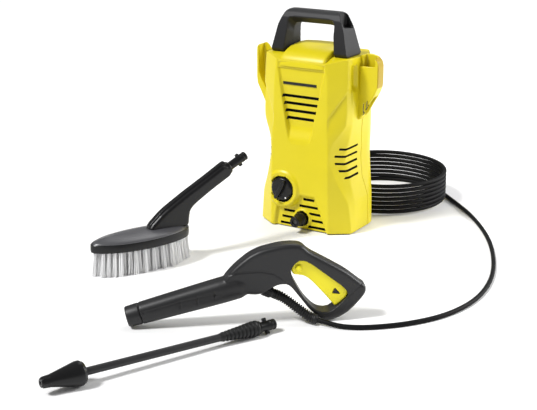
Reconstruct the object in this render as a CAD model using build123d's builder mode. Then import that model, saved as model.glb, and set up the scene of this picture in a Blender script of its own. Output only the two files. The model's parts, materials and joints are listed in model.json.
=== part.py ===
"""Compact electric pressure washer with its hose, trigger gun, rotary lance and wash brush.

Millimetres, +Z up. The origin is on the floor, under the middle of the main unit. The main unit
faces -Y. Its accessories lie on the floor in front of it, on the end of its coiled hose.
"""

import os
from math import cos, pi, radians, sin, tan

from build123d import *

os.makedirs("parts", exist_ok=True)

STANDING = (Align.CENTER, Align.CENTER, Align.MIN)


# ---------------------------------------------------------------------------
# Driving dimensions
# ---------------------------------------------------------------------------

# Casing
WALL = 3.0
CASING_BASE_Z = 2.0
SHOULDER_Z = 357.0
CASING_LEVELS = [
    # height, then the right half of the outline: front flat's corner, chamfer, side, rear corner
    (CASING_BASE_Z, [(67, -73.5), (106, -45.5), (107, -30), (107, 47), (80, 80)]),
    (66, [(66, -75), (99, -50.5), (104, -30), (105, 47), (80, 80)]),
    (115, [(65.5, -75.5), (78, -66), (95, -36), (101, 46), (79, 79)]),
    (152, [(65, -75.5), (66, -74), (87, -43), (99, 44), (79, 78)]),
    (190, [(64, -75), (72, -69), (92, -38), (100, 44), (79, 78)]),
    (226, [(62, -74.5), (93, -55), (98, -36), (100, 44), (79, 78)]),
    (300, [(60, -73), (95, -53), (98, -36), (100, 40), (78, 77)]),
    (SHOULDER_Z, [(57, -70), (93, -50), (97, -36), (98, 34), (75, 75)]),
]
PARTING_Y = 4.0
PARTING_FOOT_Y = 24.0
PARTING_FOOT_Z = 66.0
PARTING_BEND_Z = 118.0
HOOD_HALF_WIDTH = 50.0
HOOD_TOP_Z = 376.0

# Carry handle
HANDLE_TOP_Z = 443.0
HANDLE_GAP_TOP_Z = 420.0

# Controls and water inlet on the front
DIAL_X, DIAL_Z = -39.0, 83.0
DIAL_RADIUS = 25.0
DIAL_BAR_ANGLE = -62.0
INLET_X, INLET_Z = 5.0, 25.0
INLET_TIP_RADIUS = 11.0
INLET_TIP_Y = -102.0

# Pump, gearbox and motor
DRIVE_Y = 4.0
PUMP_X = -13.0
GEAR_MODULE = 1.0
PINION_TEETH = 12
SWASH_TEETH = 40
MOTOR_X = PUMP_X + GEAR_MODULE * (PINION_TEETH + SWASH_TEETH) / 2 + 0.2
PISTON_CIRCLE = 16.0
PISTON_RADIUS = 5.0
SHAFT_RADIUS = 4.0
RUNNING_GAP = 0.05

# Hose
HOSE_DIAMETER = 8.5
HOSE_RADIUS = HOSE_DIAMETER / 2
OUTLET_X, OUTLET_Z = -66.0, 62.0
COIL_CENTRE = (46.0, 221.0)
COIL_LINE_RADIUS = 132.5
COIL_OUTER_RADIUS = 137.0
COIL_INNER_RADIUS = 124.0
COIL_HEIGHT = 73.0
COIL_TURNS = 7.27

# Bayonet coupling shared by the gun, the lance and the brush
SPIGOT_RADIUS = 8.8
SPIGOT_TIP_LENGTH = 13.0
SPIGOT_NECK_RADIUS = 8.3
SOCKET_RADIUS = 9.2
LUG_REACH = 13.6

# Trigger gun: a flat plane that stands on the floor, x along the gun from its muzzle, y up
GUN_PLANE = Plane(origin=(8, -651, 0), x_dir=(0.787, 0.617, 0), z_dir=(0.617, -0.787, 0))
BARREL_TILT = 14.5
MUZZLE_RADIUS = 18.0
GUN_HALF_THICKNESS = 16.0
TRIGGER_PIVOT = (284.0, 96.0)
TRIGGER_HALF_THICKNESS = 10.0

# Lance: its axis from the nozzle's tip
LANCE_TIP = Vector(57, -915, 20.7)
LANCE_END = Vector(223.5, -537, 12.7)

# Wash brush: x along the head from its tip, y up
BRUSH_PLANE = Plane(origin=(-190, -502, 0), x_dir=(0.4008, 0.9162, 0), z_dir=(0.9162, -0.4008, 0))
BRISTLE_HEIGHT = 46.0
BRUSH_BAND_TOP = 62.0
BRUSH_SPIGOT_TILT = 24.5


# ---------------------------------------------------------------------------
# Shared shapes
# ---------------------------------------------------------------------------

def whole_outline(right_half):
    """Mirror the right half of an outline in the YZ plane."""
    return right_half + [(-x, y) for x, y in reversed(right_half)]


def along(origin, direction, side=(1, 0, 0)):
    """A plane at a point whose normal is a direction, for shapes that are round about it."""
    return Plane(origin=origin, x_dir=side, z_dir=direction)


def turned(profile, plane):
    """Revolve a closed (radius, height) profile about a plane's normal."""
    face_plane = Plane(
        origin=plane.origin, x_dir=plane.x_dir, z_dir=plane.x_dir.cross(plane.z_dir)
    )
    with BuildPart() as body:
        with BuildSketch(face_plane):
            with BuildLine():
                Polyline(*profile, close=True)
            make_face()
        revolve(axis=Axis(plane.origin, plane.z_dir))
    return body.part


def tube_profile(inner, outer, low, high):
    """The (radius, height) corners of a plain ring."""
    return [(inner, low), (outer, low), (outer, high), (inner, high)]


def gear_outline(teeth, phase):
    """Slim straight-flanked teeth about the origin; phase is the first tooth's angle."""
    pitch_radius = GEAR_MODULE * teeth / 2
    root = pitch_radius - 1.25 * GEAR_MODULE
    tip = pitch_radius + GEAR_MODULE
    pitch = 360 / teeth
    points = []
    for tooth in range(teeth):
        for radius, share in ((root, -0.33), (tip, -0.13), (tip, 0.13), (root, 0.33)):
            angle = radians(phase + (tooth + share) * pitch)
            points.append((radius * cos(angle), radius * sin(angle)))
    return points


def cord_tube(points, name):
    """A hose along straight runs joined by the largest arcs that its runs allow."""
    corners = [Vector(*point) for point in points]
    radii = []
    for before, here, after in zip(corners, corners[1:], corners[2:]):
        turn = (here - before).get_angle(after - here)
        shorter = min((here - before).length, (after - here).length)
        radii.append(0.45 * shorter / tan(radians(turn) / 2))
    print(name, "radii", [round(radius) for radius in radii])
    with BuildPart() as tube:
        with BuildLine() as path:
            FilletPolyline(*corners, radius=radii)
        with BuildSketch(Plane(origin=path.line @ 0, z_dir=path.line % 0)):
            Circle(HOSE_RADIUS)
        sweep()
    length = path.wire().length
    expected = pi * HOSE_RADIUS**2 * length
    print(name, "length", round(length), "volume share", round(tube.part.volume / expected, 4))
    return tube.part


def gun_point(x, y, side=0.0):
    """A point of the gun's plane in the washer's frame."""
    return GUN_PLANE.from_local_coords(Vector(x, y, side))


def brush_point(x, y, side=0.0):
    """A point of the brush's plane in the washer's frame."""
    return BRUSH_PLANE.from_local_coords(Vector(x, y, side))


# ---------------------------------------------------------------------------
# Casing: two shells moulded from one hollow hourglass body
# ---------------------------------------------------------------------------

with BuildPart() as casing_outside:
    for level, half in CASING_LEVELS:
        with BuildSketch(Plane.XY.offset(level)):
            with BuildLine():
                Polyline(*whole_outline(half), close=True)
            make_face()
    loft(ruled=True)

with BuildPart() as casing_inside:
    for level, half in CASING_LEVELS:
        inner_level = min(max(level, CASING_BASE_Z + WALL), SHOULDER_Z - WALL)
        with BuildSketch(Plane.XY.offset(inner_level)):
            with BuildLine():
                Polyline(*whole_outline(half), close=True)
            make_face()
            offset(amount=-WALL, kind=Kind.INTERSECTION)
    loft(ruled=True)


def hood(inset):
    """The crowned hood between the handle's legs, shrunk on every side by an inset."""
    with BuildPart() as crown:
        with BuildSketch(Plane.YZ):
            with BuildLine():
                front = (-68 + inset, 352 - inset)
                rear = (62 - inset, 363 - inset)
                low_z = 345 - inset
                ThreePointArc(front, (0, HOOD_TOP_Z - inset), rear)
                Polyline(rear, (62 - inset, low_z), (-68 + inset, low_z), front)
            make_face()
        extrude(amount=HOOD_HALF_WIDTH - inset, both=True)
    return crown.part


# Long bosses that the casing screws run in, and posts that the pump's head stands on
SCREW_PLACES = [(x, z) for z, x_out in ((22, 88), (105, 72), (320, 72)) for x in (-x_out, x_out)]
HEAD_POSTS = [(x, y) for x in (-60, 25) for y in (-25, 33)]
REAR_FACE_Y = {22: 69.0, 105: 78.0, 320: 74.0}

with BuildPart() as screw_bosses:
    for x, z in SCREW_PLACES:
        with Locations(Location((x, 0, z), (90, 0, 0))):
            Cylinder(5, 200)
    for x, y in HEAD_POSTS:
        with Locations((x, y, CASING_BASE_Z)):
            Cylinder(5, 12, align=STANDING)
    add(casing_outside.part, mode=Mode.INTERSECT)

# Shelves that hold the gearbox and the motor
SHELVES = [(118, 0.0, 50.0), (196, MOTOR_X, 45.0)]

with BuildPart() as shelves:
    for low_z, _, _ in SHELVES:
        with Locations((0, 0, low_z)):
            Box(230, 200, 3, align=STANDING)
    add(casing_outside.part, mode=Mode.INTERSECT)
    for low_z, centre_x, hole_radius in SHELVES:
        with Locations((centre_x, DRIVE_Y, low_z - 1)):
            Cylinder(hole_radius, 5, align=STANDING, mode=Mode.SUBTRACT)

# Vents: upper panel, lower front, and bent slots in the side scoops
UPPER_SLOTS = [(277, 39), (262, 36), (247, 33), (232, 30)]
UPPER_SLOT_SHIFT = -2.0
LOWER_SLOTS = [
    (66, 7, 32), (51, -2, 40), (37, 15, 48), (37, -38, -8), (23, 23, 54), (23, -43, -16),
    (9, 15, 60), (9, -48, -22),
]
SIDE_SLOT_LEVELS = [176, 161, 146, 131, 117]
SLOT_HEIGHT = 4.0

with BuildPart() as vents:
    for z, half_width in UPPER_SLOTS:
        with Locations((UPPER_SLOT_SHIFT, -72, z)):
            Box(2 * half_width, 20, SLOT_HEIGHT)
    for z, left, right in LOWER_SLOTS:
        with Locations(((left + right) / 2, -72, z)):
            Box(right - left, 20, SLOT_HEIGHT)
    for z in SIDE_SLOT_LEVELS:
        for side in (-1, 1):
            with BuildSketch(Plane.XY.offset(z - SLOT_HEIGHT / 2)):
                with BuildLine():
                    Polyline(
                        (side * 70, -66), (side * 78, -70), (side * 97, -44), (side * 106, -6),
                        (side * 86, -6), (side * 80, -42), close=True,
                    )
                make_face()
            extrude(amount=SLOT_HEIGHT)

with BuildPart() as casing:
    add(casing_outside.part)
    add(hood(0))
    add(casing_inside.part, mode=Mode.SUBTRACT)
    add(hood(WALL), mode=Mode.SUBTRACT)
    add(screw_bosses.part)
    add(shelves.part)
    # Raised ring and well for the switch dial
    with Locations(Location((DIAL_X, -70, DIAL_Z), (90, 0, 0))):
        Cylinder(DIAL_RADIUS + 9.5, 18)
        Cylinder(DIAL_RADIUS + 0.6, 30, mode=Mode.SUBTRACT)
    # Clearance for the inlet nipple
    with Locations(Location((INLET_X, -70, INLET_Z), (90, 0, 0))):
        Cylinder(15, 30, mode=Mode.SUBTRACT)
    # Holes in the rear wall: hose outlet and cable gland
    with Locations(Location((OUTLET_X, 76, OUTLET_Z), (90, 0, 0))):
        Cylinder(12.2, 24, mode=Mode.SUBTRACT)
    with Locations(Location((58, 76, 112), (90, 0, 0))):
        Cylinder(7.1, 24, mode=Mode.SUBTRACT)
    # Screw bores with sunk heads
    for x, z in SCREW_PLACES:
        with Locations(Location((x, REAR_FACE_Y[z] - 4, z), (-90, 0, 0))):
            Cylinder(4.6, 30, align=STANDING, mode=Mode.SUBTRACT)
        with Locations(Location((x, REAR_FACE_Y[z] - 4, z), (90, 0, 0))):
            Cylinder(2.05, 100, align=STANDING, mode=Mode.SUBTRACT)
    add(vents.part, mode=Mode.SUBTRACT)

with BuildPart() as front_zone:
    with BuildSketch(Plane.YZ):
        with BuildLine():
            Polyline(
                (-130, -10), (PARTING_FOOT_Y, -10), (PARTING_FOOT_Y, PARTING_FOOT_Z),
                (PARTING_Y, PARTING_BEND_Z), (PARTING_Y, 420), (-130, 420), close=True,
            )
        make_face()
    extrude(amount=200, both=True)

with BuildPart() as front_shell:
    add(casing.part)
    add(front_zone.part, mode=Mode.INTERSECT)
front_shell.part.label = "front_shell"
export_step(front_shell.part, "parts/front_shell.step")

with BuildPart() as rear_shell:
    add(casing.part)
    add(front_zone.part, mode=Mode.SUBTRACT)
rear_shell.part.label = "rear_shell"
export_step(rear_shell.part, "parts/rear_shell.step")

with BuildPart() as casing_screws:
    for x, z in SCREW_PLACES:
        with Locations(Location((x, REAR_FACE_Y[z] - 4, z), (90, 0, 0))):
            Cylinder(2, 90, align=STANDING)
        with Locations(Location((x, REAR_FACE_Y[z] - 4, z), (-90, 0, 0))):
            Cylinder(4, 2.5, align=STANDING)
            Cylinder(1.4, 2.5, align=STANDING, mode=Mode.SUBTRACT)
casing_screws.part.label = "casing_screws"
export_step(casing_screws.part, "parts/casing_screws.step")

with BuildPart() as rubber_feet:
    for x, y in [(-88, -42), (88, -42), (-82, 60), (82, 60), (0, 0)]:
        with Locations((x, y, 0)):
            Cone(8, 9, CASING_BASE_Z, align=STANDING)
rubber_feet.part.label = "rubber_feet"
export_step(rubber_feet.part, "parts/rubber_feet.step")


# ---------------------------------------------------------------------------
# Carry handle and accessory holders
# ---------------------------------------------------------------------------

with BuildPart() as carry_handle:
    with BuildSketch(Plane.XZ):
        with BuildLine():
            Polyline(
                (-88, SHOULDER_Z), (-74, 412), (-62, 438), (-56, HANDLE_TOP_Z),
                (56, HANDLE_TOP_Z), (62, 438), (74, 412), (88, SHOULDER_Z), close=True,
            )
        make_face()
    extrude(amount=60, both=True)
    with BuildSketch(Plane.YZ):
        with BuildLine():
            Polyline(
                (-45, SHOULDER_Z), (-36, 425), (-28, 438), (-18, HANDLE_TOP_Z), (-4, HANDLE_TOP_Z),
                (5, 436), (9, 415), (20, SHOULDER_Z), close=True,
            )
        make_face()
    extrude(amount=100, both=True, mode=Mode.INTERSECT)
    with BuildSketch(Plane.XZ):
        with BuildLine():
            Polyline(
                (-55, SHOULDER_Z - 1), (-46, 408), (-38, HANDLE_GAP_TOP_Z),
                (38, HANDLE_GAP_TOP_Z), (46, 408), (55, SHOULDER_Z - 1), close=True,
            )
        make_face()
    extrude(amount=100, both=True, mode=Mode.SUBTRACT)
    # Wider mouth at the front of the gap
    for depth, widening in ((-50, 9), (-14, 0)):
        with BuildSketch(Plane.XZ.offset(-depth)):
            with BuildLine():
                Polyline(
                    (-55 - widening, SHOULDER_Z - 1), (-46 - widening, 408 + widening),
                    (-38 - widening, HANDLE_GAP_TOP_Z + 1.3 * widening),
                    (38 + widening, HANDLE_GAP_TOP_Z + 1.3 * widening),
                    (46 + widening, 408 + widening), (55 + widening, SHOULDER_Z - 1), close=True,
                )
            make_face()
    loft(ruled=True, mode=Mode.SUBTRACT)
carry_handle.part.label = "carry_handle"
export_step(carry_handle.part, "parts/carry_handle.step")


HOLDER_HALF_DEPTH = 13.0
RIGHT_HOLDER = [
    (94, 356), (100, 361), (114, 363), (130, 359), (138, 350), (140, 340), (140, 302),
    (133, 284), (120, 262), (108, 240), (94, 224),
]
LEFT_HOLDER = [
    (94, 346), (116, 348), (122, 358), (128, 363), (134, 363), (140, 356), (140, 284),
    (129, 263), (118, 240), (94, 208),
]


def holder_block(outline, side):
    """A moulded bracket that stands out from the right (1) or the left (-1) flank."""
    with BuildPart() as bracket:
        with BuildSketch(Plane.XZ):
            with BuildLine():
                Polyline(*[(side * x, z) for x, z in outline], close=True)
            make_face()
        extrude(amount=HOLDER_HALF_DEPTH, both=True)
        add(casing_outside.part, mode=Mode.SUBTRACT)
    return bracket.part


# Right: a closed front wall with a ledge on top, round a shaft that runs right through
with BuildPart() as right_accessory_holder:
    add(holder_block(RIGHT_HOLDER, 1))
    with Locations((112, -HOLDER_HALF_DEPTH, 340)):
        Box(40, 20, 40, align=(Align.CENTER, Align.CENTER, Align.MIN), mode=Mode.SUBTRACT)
    with Locations((117, 0, 200)):
        Box(26, 16, 200, align=STANDING, mode=Mode.SUBTRACT)
right_accessory_holder.part.label = "right_accessory_holder"
export_step(right_accessory_holder.part, "parts/right_accessory_holder.step")

# Left: a rear wall and an outer wall with a round top, open to the front and upwards
with BuildPart() as left_accessory_holder:
    add(holder_block(LEFT_HOLDER, -1))
    with BuildSketch(Plane.XZ.offset(HOLDER_HALF_DEPTH + 1)):
        with BuildLine():
            Polyline(
                (-104, 370), (-134, 370), (-134, 304), (-127, 288), (-112, 264), (-104, 264),
                close=True,
            )
        make_face()
    extrude(amount=-23, mode=Mode.SUBTRACT)
left_accessory_holder.part.label = "left_accessory_holder"
export_step(left_accessory_holder.part, "parts/left_accessory_holder.step")


# ---------------------------------------------------------------------------
# Switch
# ---------------------------------------------------------------------------

with BuildPart() as switch_dial:
    dial_plane = along((DIAL_X, -69, DIAL_Z), (0, -1, 0))
    add(turned(
        [(0, 0), (DIAL_RADIUS, 0), (DIAL_RADIUS, 10), (DIAL_RADIUS - 3, 13), (0, 13)], dial_plane
    ))
    with Locations(Location((DIAL_X, -84, DIAL_Z), (0, -DIAL_BAR_ANGLE, 0))):
        Box(2 * DIAL_RADIUS - 8, 8, 9)
    with Locations(Location((DIAL_X, -69.1, DIAL_Z), (-90, 0, 0))):
        Cylinder(4, 10, align=STANDING)
switch_dial.part.label = "switch_dial"
export_step(switch_dial.part, "parts/switch_dial.step")

with BuildPart() as switch_block:
    with Locations((DIAL_X, -56, DIAL_Z)):
        Box(34, 20, 32)
    with Locations(Location((DIAL_X, -66.5, DIAL_Z), (-90, 0, 0))):
        Cylinder(4 + RUNNING_GAP, 8.5, align=STANDING, mode=Mode.SUBTRACT)
    with Locations((DIAL_X - 10, -46, DIAL_Z), (DIAL_X + 10, -46, DIAL_Z)):
        Box(6, 8, 2)
switch_block.part.label = "switch_block"
export_step(switch_block.part, "parts/switch_block.step")


# ---------------------------------------------------------------------------
# Pump, from the valve head on the floor up to the swash gear
# ---------------------------------------------------------------------------

HEAD_LOW, HEAD_HIGH = 14.0, 44.0
BODY_HIGH = 80.0
GEARBOX_HIGH = 132.0

pump_plane = along((PUMP_X, DRIVE_Y, 0), (0, 0, 1))
motor_plane = along((MOTOR_X, DRIVE_Y, 0), (0, 0, 1))
gearbox_plane = along((0, DRIVE_Y, 0), (0, 0, 1))

with BuildPart() as cylinder_head:
    with Locations((-18.5, DRIVE_Y, HEAD_LOW)):
        Box(103, 74, HEAD_HIGH - HEAD_LOW, align=STANDING)
    fillet(cylinder_head.edges().filter_by(Axis.Z), 6)
    # Water inlet from the front, and outlet port under the outlet pipe
    with Locations(Location((INLET_X, DRIVE_Y - 37, INLET_Z), (-90, 0, 0))):
        Cylinder(8 + RUNNING_GAP, 14, align=STANDING, mode=Mode.SUBTRACT)
    with Locations((OUTLET_X, 28, HEAD_HIGH - 10)):
        Cylinder(6 + RUNNING_GAP, 11, align=STANDING, mode=Mode.SUBTRACT)
    # Valve pockets under the pistons
    with Locations(pump_plane.offset(HEAD_HIGH - 14)):
        with PolarLocations(PISTON_CIRCLE, 3):
            Cylinder(6, 15, align=STANDING, mode=Mode.SUBTRACT)
cylinder_head.part.label = "cylinder_head"
export_step(cylinder_head.part, "parts/cylinder_head.step")

with BuildPart() as pump_valves:
    with Locations(pump_plane.offset(HEAD_HIGH - 14)):
        with PolarLocations(PISTON_CIRCLE, 3):
            Cylinder(5.8, 4, align=STANDING)
            with Locations((0, 0, 4)):
                Cone(3.5, 1.5, 5, align=STANDING)
pump_valves.part.label = "pump_valves"
export_step(pump_valves.part, "parts/pump_valves.step")

with BuildPart() as pump_body:
    add(turned(tube_profile(0, 36, HEAD_HIGH, BODY_HIGH), pump_plane))
    with Locations(pump_plane.offset(HEAD_HIGH - 1)):
        with PolarLocations(PISTON_CIRCLE, 3):
            Cylinder(PISTON_RADIUS + RUNNING_GAP, 38, align=STANDING, mode=Mode.SUBTRACT)
        with PolarLocations(31, 4, start_angle=45):
            Cylinder(2.6, 38, align=STANDING, mode=Mode.SUBTRACT)
pump_body.part.label = "pump_body"
export_step(pump_body.part, "parts/pump_body.step")

with BuildPart() as head_bolts:
    with Locations(pump_plane.offset(HEAD_HIGH)):
        with PolarLocations(31, 4, start_angle=45):
            Cylinder(2.5, BODY_HIGH - HEAD_HIGH, align=STANDING)
head_bolts.part.label = "head_bolts"
export_step(head_bolts.part, "parts/head_bolts.step")

with BuildPart() as gearbox_housing:
    add(turned(
        [(0, BODY_HIGH), (50, BODY_HIGH), (50, GEARBOX_HIGH), (46, GEARBOX_HIGH),
         (46, BODY_HIGH + 4), (0, BODY_HIGH + 4)],
        gearbox_plane,
    ))
    with Locations(pump_plane.offset(BODY_HIGH - 1)):
        with PolarLocations(PISTON_CIRCLE, 3):
            Cylinder(PISTON_RADIUS + 0.2, 6, align=STANDING, mode=Mode.SUBTRACT)
gearbox_housing.part.label = "gearbox_housing"
export_step(gearbox_housing.part, "parts/gearbox_housing.step")

PISTON_HEAD_LOW, PISTON_HEAD_HIGH = 92.5, 95.5

with BuildPart() as pump_pistons:
    with Locations(pump_plane.offset(50)):
        with PolarLocations(PISTON_CIRCLE, 3):
            Cylinder(PISTON_RADIUS, PISTON_HEAD_HIGH - 50, align=STANDING)
    with Locations(pump_plane.offset(PISTON_HEAD_LOW)):
        with PolarLocations(PISTON_CIRCLE, 3):
            Cylinder(8, PISTON_HEAD_HIGH - PISTON_HEAD_LOW, align=STANDING)
pump_pistons.part.label = "pump_pistons"
export_step(pump_pistons.part, "parts/pump_pistons.step")

SPRING_WIRE = 0.7
spring_height = PISTON_HEAD_LOW - (BODY_HIGH + 4) - 2 * SPRING_WIRE

with BuildPart() as one_spring:
    with BuildLine() as coil_line:
        Helix(pitch=spring_height / 3, height=spring_height, radius=PISTON_RADIUS + 1.5)
    with BuildSketch(Plane(origin=coil_line.line @ 0, z_dir=coil_line.line % 0)):
        Circle(SPRING_WIRE)
    sweep(is_frenet=True)

with BuildPart() as piston_springs:
    with Locations(pump_plane.offset(BODY_HIGH + 4 + SPRING_WIRE)):
        with PolarLocations(PISTON_CIRCLE, 3):
            add(one_spring.part)
piston_springs.part.label = "piston_springs"
export_step(piston_springs.part, "parts/piston_springs.step")

with BuildPart() as swash_gear:
    # Toothed wheel with a hub above it and a slanted swash face below it
    with BuildSketch(pump_plane.offset(112)):
        with BuildLine():
            Polyline(*gear_outline(SWASH_TEETH, 0), close=True)
        make_face()
    extrude(amount=10)
    add(turned(tube_profile(0, 18.5, 98, 112), pump_plane))
    with Locations(Location((PUMP_X, DRIVE_Y, 103.5), (0, 12, 0))):
        Box(80, 80, 30, align=(Align.CENTER, Align.CENTER, Align.MAX), mode=Mode.SUBTRACT)
    add(turned(tube_profile(0, 5, 122, 136), pump_plane))
swash_gear.part.label = "swash_gear"
export_step(swash_gear.part, "parts/swash_gear.step")

with BuildPart() as thrust_bearing:
    add(turned(tube_profile(9, 17, 122.3, GEARBOX_HIGH), pump_plane))
thrust_bearing.part.label = "thrust_bearing"
export_step(thrust_bearing.part, "parts/thrust_bearing.step")


# ---------------------------------------------------------------------------
# Motor
# ---------------------------------------------------------------------------

CAP_HIGH = 142.0
STATOR_LOW, STATOR_HIGH = 152.0, 210.0
BEARING_RADIUS = 11.0
TOP_CAP_LOW = 243.0

with BuildPart() as motor_bottom_cap:
    add(turned(tube_profile(0, 50, GEARBOX_HIGH, CAP_HIGH), gearbox_plane))
    add(turned(tube_profile(41.5, 45, CAP_HIGH, STATOR_LOW), motor_plane))
    with Locations(motor_plane.offset(GEARBOX_HIGH - 1)):
        Cylinder(BEARING_RADIUS, 12, align=STANDING, mode=Mode.SUBTRACT)
    with Locations(pump_plane.offset(GEARBOX_HIGH - 1)):
        Cylinder(5 + RUNNING_GAP, 6, align=STANDING, mode=Mode.SUBTRACT)
motor_bottom_cap.part.label = "motor_bottom_cap"
export_step(motor_bottom_cap.part, "parts/motor_bottom_cap.step")

with BuildPart() as motor_stator:
    add(turned(tube_profile(25.5, 45, STATOR_LOW, STATOR_HIGH), motor_plane))
motor_stator.part.label = "motor_stator"
export_step(motor_stator.part, "parts/motor_stator.step")

with BuildPart() as field_windings:
    add(turned(tube_profile(28, 40, CAP_HIGH + 1, STATOR_LOW), motor_plane))
    add(turned(tube_profile(28, 40, STATOR_HIGH, STATOR_HIGH + 10), motor_plane))
field_windings.part.label = "field_windings"
export_step(field_windings.part, "parts/field_windings.step")

with BuildPart() as motor_top_cap:
    add(turned(
        [(BEARING_RADIUS, TOP_CAP_LOW), (41.5, TOP_CAP_LOW), (41.5, STATOR_HIGH),
         (45, STATOR_HIGH), (45, 250), (BEARING_RADIUS, 250)],
        motor_plane,
    ))
    # Cooling windows in the skirt
    with Locations(motor_plane.offset(226)):
        with PolarLocations(43, 4, start_angle=45):
            Box(12, 30, 22, mode=Mode.SUBTRACT)
motor_top_cap.part.label = "motor_top_cap"
export_step(motor_top_cap.part, "parts/motor_top_cap.step")

with BuildPart() as rotor_bearings:
    ring = tube_profile(SHAFT_RADIUS + RUNNING_GAP, BEARING_RADIUS, 0, 7)
    for low_z in (GEARBOX_HIGH + 2, TOP_CAP_LOW):
        add(turned(ring, motor_plane.offset(low_z)))
rotor_bearings.part.label = "rotor_bearings"
export_step(rotor_bearings.part, "parts/rotor_bearings.step")

with BuildPart() as rotor_shaft:
    add(turned(tube_profile(0, SHAFT_RADIUS, 108, 274), motor_plane))
rotor_shaft.part.label = "rotor_shaft"
export_step(rotor_shaft.part, "parts/rotor_shaft.step")

with BuildPart() as pinion_gear:
    with BuildSketch(motor_plane.offset(110)):
        with BuildLine():
            Polyline(*gear_outline(PINION_TEETH, 180 / PINION_TEETH), close=True)
        make_face()
        Circle(SHAFT_RADIUS, mode=Mode.SUBTRACT)
    extrude(amount=14)
pinion_gear.part.label = "pinion_gear"
export_step(pinion_gear.part, "parts/pinion_gear.step")

with BuildPart() as rotor_core:
    add(turned(tube_profile(SHAFT_RADIUS, 25, STATOR_LOW + 2, STATOR_HIGH - 2), motor_plane))
    with Locations(motor_plane.offset(STATOR_LOW)):
        with PolarLocations(24, 12):
            Box(6, 2.4, STATOR_HIGH - STATOR_LOW, align=STANDING, mode=Mode.SUBTRACT)
rotor_core.part.label = "rotor_core"
export_step(rotor_core.part, "parts/rotor_core.step")

with BuildPart() as commutator:
    add(turned(tube_profile(SHAFT_RADIUS, 11, 218, 236), motor_plane))
commutator.part.label = "commutator"
export_step(commutator.part, "parts/commutator.step")

with BuildPart() as carbon_brushes:
    for side in (-1, 1):
        with Locations((MOTOR_X + side * 25.4, DRIVE_Y, 227)):
            Box(28, 7, 9)
carbon_brushes.part.label = "carbon_brushes"
export_step(carbon_brushes.part, "parts/carbon_brushes.step")

with BuildPart() as cooling_fan:
    add(turned([(SHAFT_RADIUS, 256), (37, 256), (37, 258.5), (9, 258.5), (9, 272),
                (SHAFT_RADIUS, 272)], motor_plane))
    with Locations(motor_plane.offset(258)):
        with PolarLocations(22, 9):
            Box(28, 1.8, 12, align=STANDING)
cooling_fan.part.label = "cooling_fan"
export_step(cooling_fan.part, "parts/cooling_fan.step")

with BuildPart() as suppressor_capacitor:
    with Locations((-64, 18, 199)):
        Cylinder(13, 42, align=STANDING)
    with Locations((-64, 13, 241), (-64, 23, 241)):
        Box(1.5, 5, 8, align=STANDING)
suppressor_capacitor.part.label = "suppressor_capacitor"
export_step(suppressor_capacitor.part, "parts/suppressor_capacitor.step")

PRESSURE_PORT_HEIGHT = 6.0

with BuildPart() as pressure_switch:
    with Locations((24, -18, HEAD_HIGH)):
        Cylinder(7, PRESSURE_PORT_HEIGHT, align=STANDING)
    with Locations((30, -24, HEAD_HIGH + PRESSURE_PORT_HEIGHT)):
        Box(24, 18, 22, align=STANDING)
pressure_switch.part.label = "pressure_switch"
export_step(pressure_switch.part, "parts/pressure_switch.step")


# ---------------------------------------------------------------------------
# Water and mains connections
# ---------------------------------------------------------------------------

with BuildPart() as water_inlet_nipple:
    inlet_plane = along((INLET_X, 0, INLET_Z), (0, -1, 0))
    tip = -INLET_TIP_Y
    add(turned(
        [(0, 23), (8, 23), (8, 33), (9, 33), (9, 76), (14, 76), (14, 82), (12.5, 84),
         (INLET_TIP_RADIUS, 88), (INLET_TIP_RADIUS, tip), (5, tip), (5, tip - 24), (0, tip - 24)],
        inlet_plane,
    ))
water_inlet_nipple.part.label = "water_inlet_nipple"
export_step(water_inlet_nipple.part, "parts/water_inlet_nipple.step")

with BuildPart() as inlet_filter:
    add(turned([(0, tip - 22), (3.6, tip - 22), (4.8, tip - 4), (0, tip - 4)], inlet_plane))
inlet_filter.part.label = "inlet_filter"
export_step(inlet_filter.part, "parts/inlet_filter.step")

outlet_plane = along((OUTLET_X, 0, OUTLET_Z), (0, 1, 0))

with BuildPart() as hose_outlet:
    with BuildLine() as outlet_line:
        FilletPolyline(
            (OUTLET_X, 28, HEAD_HIGH - 9), (OUTLET_X, 28, OUTLET_Z), (OUTLET_X, 64, OUTLET_Z),
            radius=12,
        )
    with BuildSketch(Plane(origin=outlet_line.line @ 0, z_dir=outlet_line.line % 0)):
        Circle(6)
    sweep()
    add(turned([(0, 64), (12, 64), (12, 84), (9.5, 86), (9.5, 88), (0, 88)], outlet_plane))
hose_outlet.part.label = "hose_outlet"
export_step(hose_outlet.part, "parts/hose_outlet.step")

with BuildPart() as hose_end_coupling:
    add(turned([(0, 88), (9.5, 88), (9.5, 98), (6.5, 100), (6.5, 104), (0, 104)], outlet_plane))
hose_end_coupling.part.label = "hose_end_coupling"
export_step(hose_end_coupling.part, "parts/hose_end_coupling.step")

with BuildPart() as cable_gland:
    gland_plane = along((58, 0, 112), (0, 1, 0))
    add(turned(
        [(3.5, 70), (7, 70), (7, 79.6), (10, 79.6), (10, 82), (7, 82), (5.2, 98), (3.5, 98)],
        gland_plane,
    ))
cable_gland.part.label = "cable_gland"
export_step(cable_gland.part, "parts/cable_gland.step")


# ---------------------------------------------------------------------------
# Hose: a short tail, the coil behind the machine, and the lead to the gun
# ---------------------------------------------------------------------------

def coil_point(angle, z):
    """A point of the coil's centre line, by its angle from +X."""
    return (
        COIL_CENTRE[0] + COIL_LINE_RADIUS * cos(radians(angle)),
        COIL_CENTRE[1] + COIL_LINE_RADIUS * sin(radians(angle)),
        z,
    )


COIL_TOP_Z = 68.5
HOSE_FLOOR_Z = HOSE_RADIUS + 0.05
COIL_START_ANGLE = 145.0
COIL_END_ANGLE = COIL_START_ANGLE - 360 * COIL_TURNS

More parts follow.
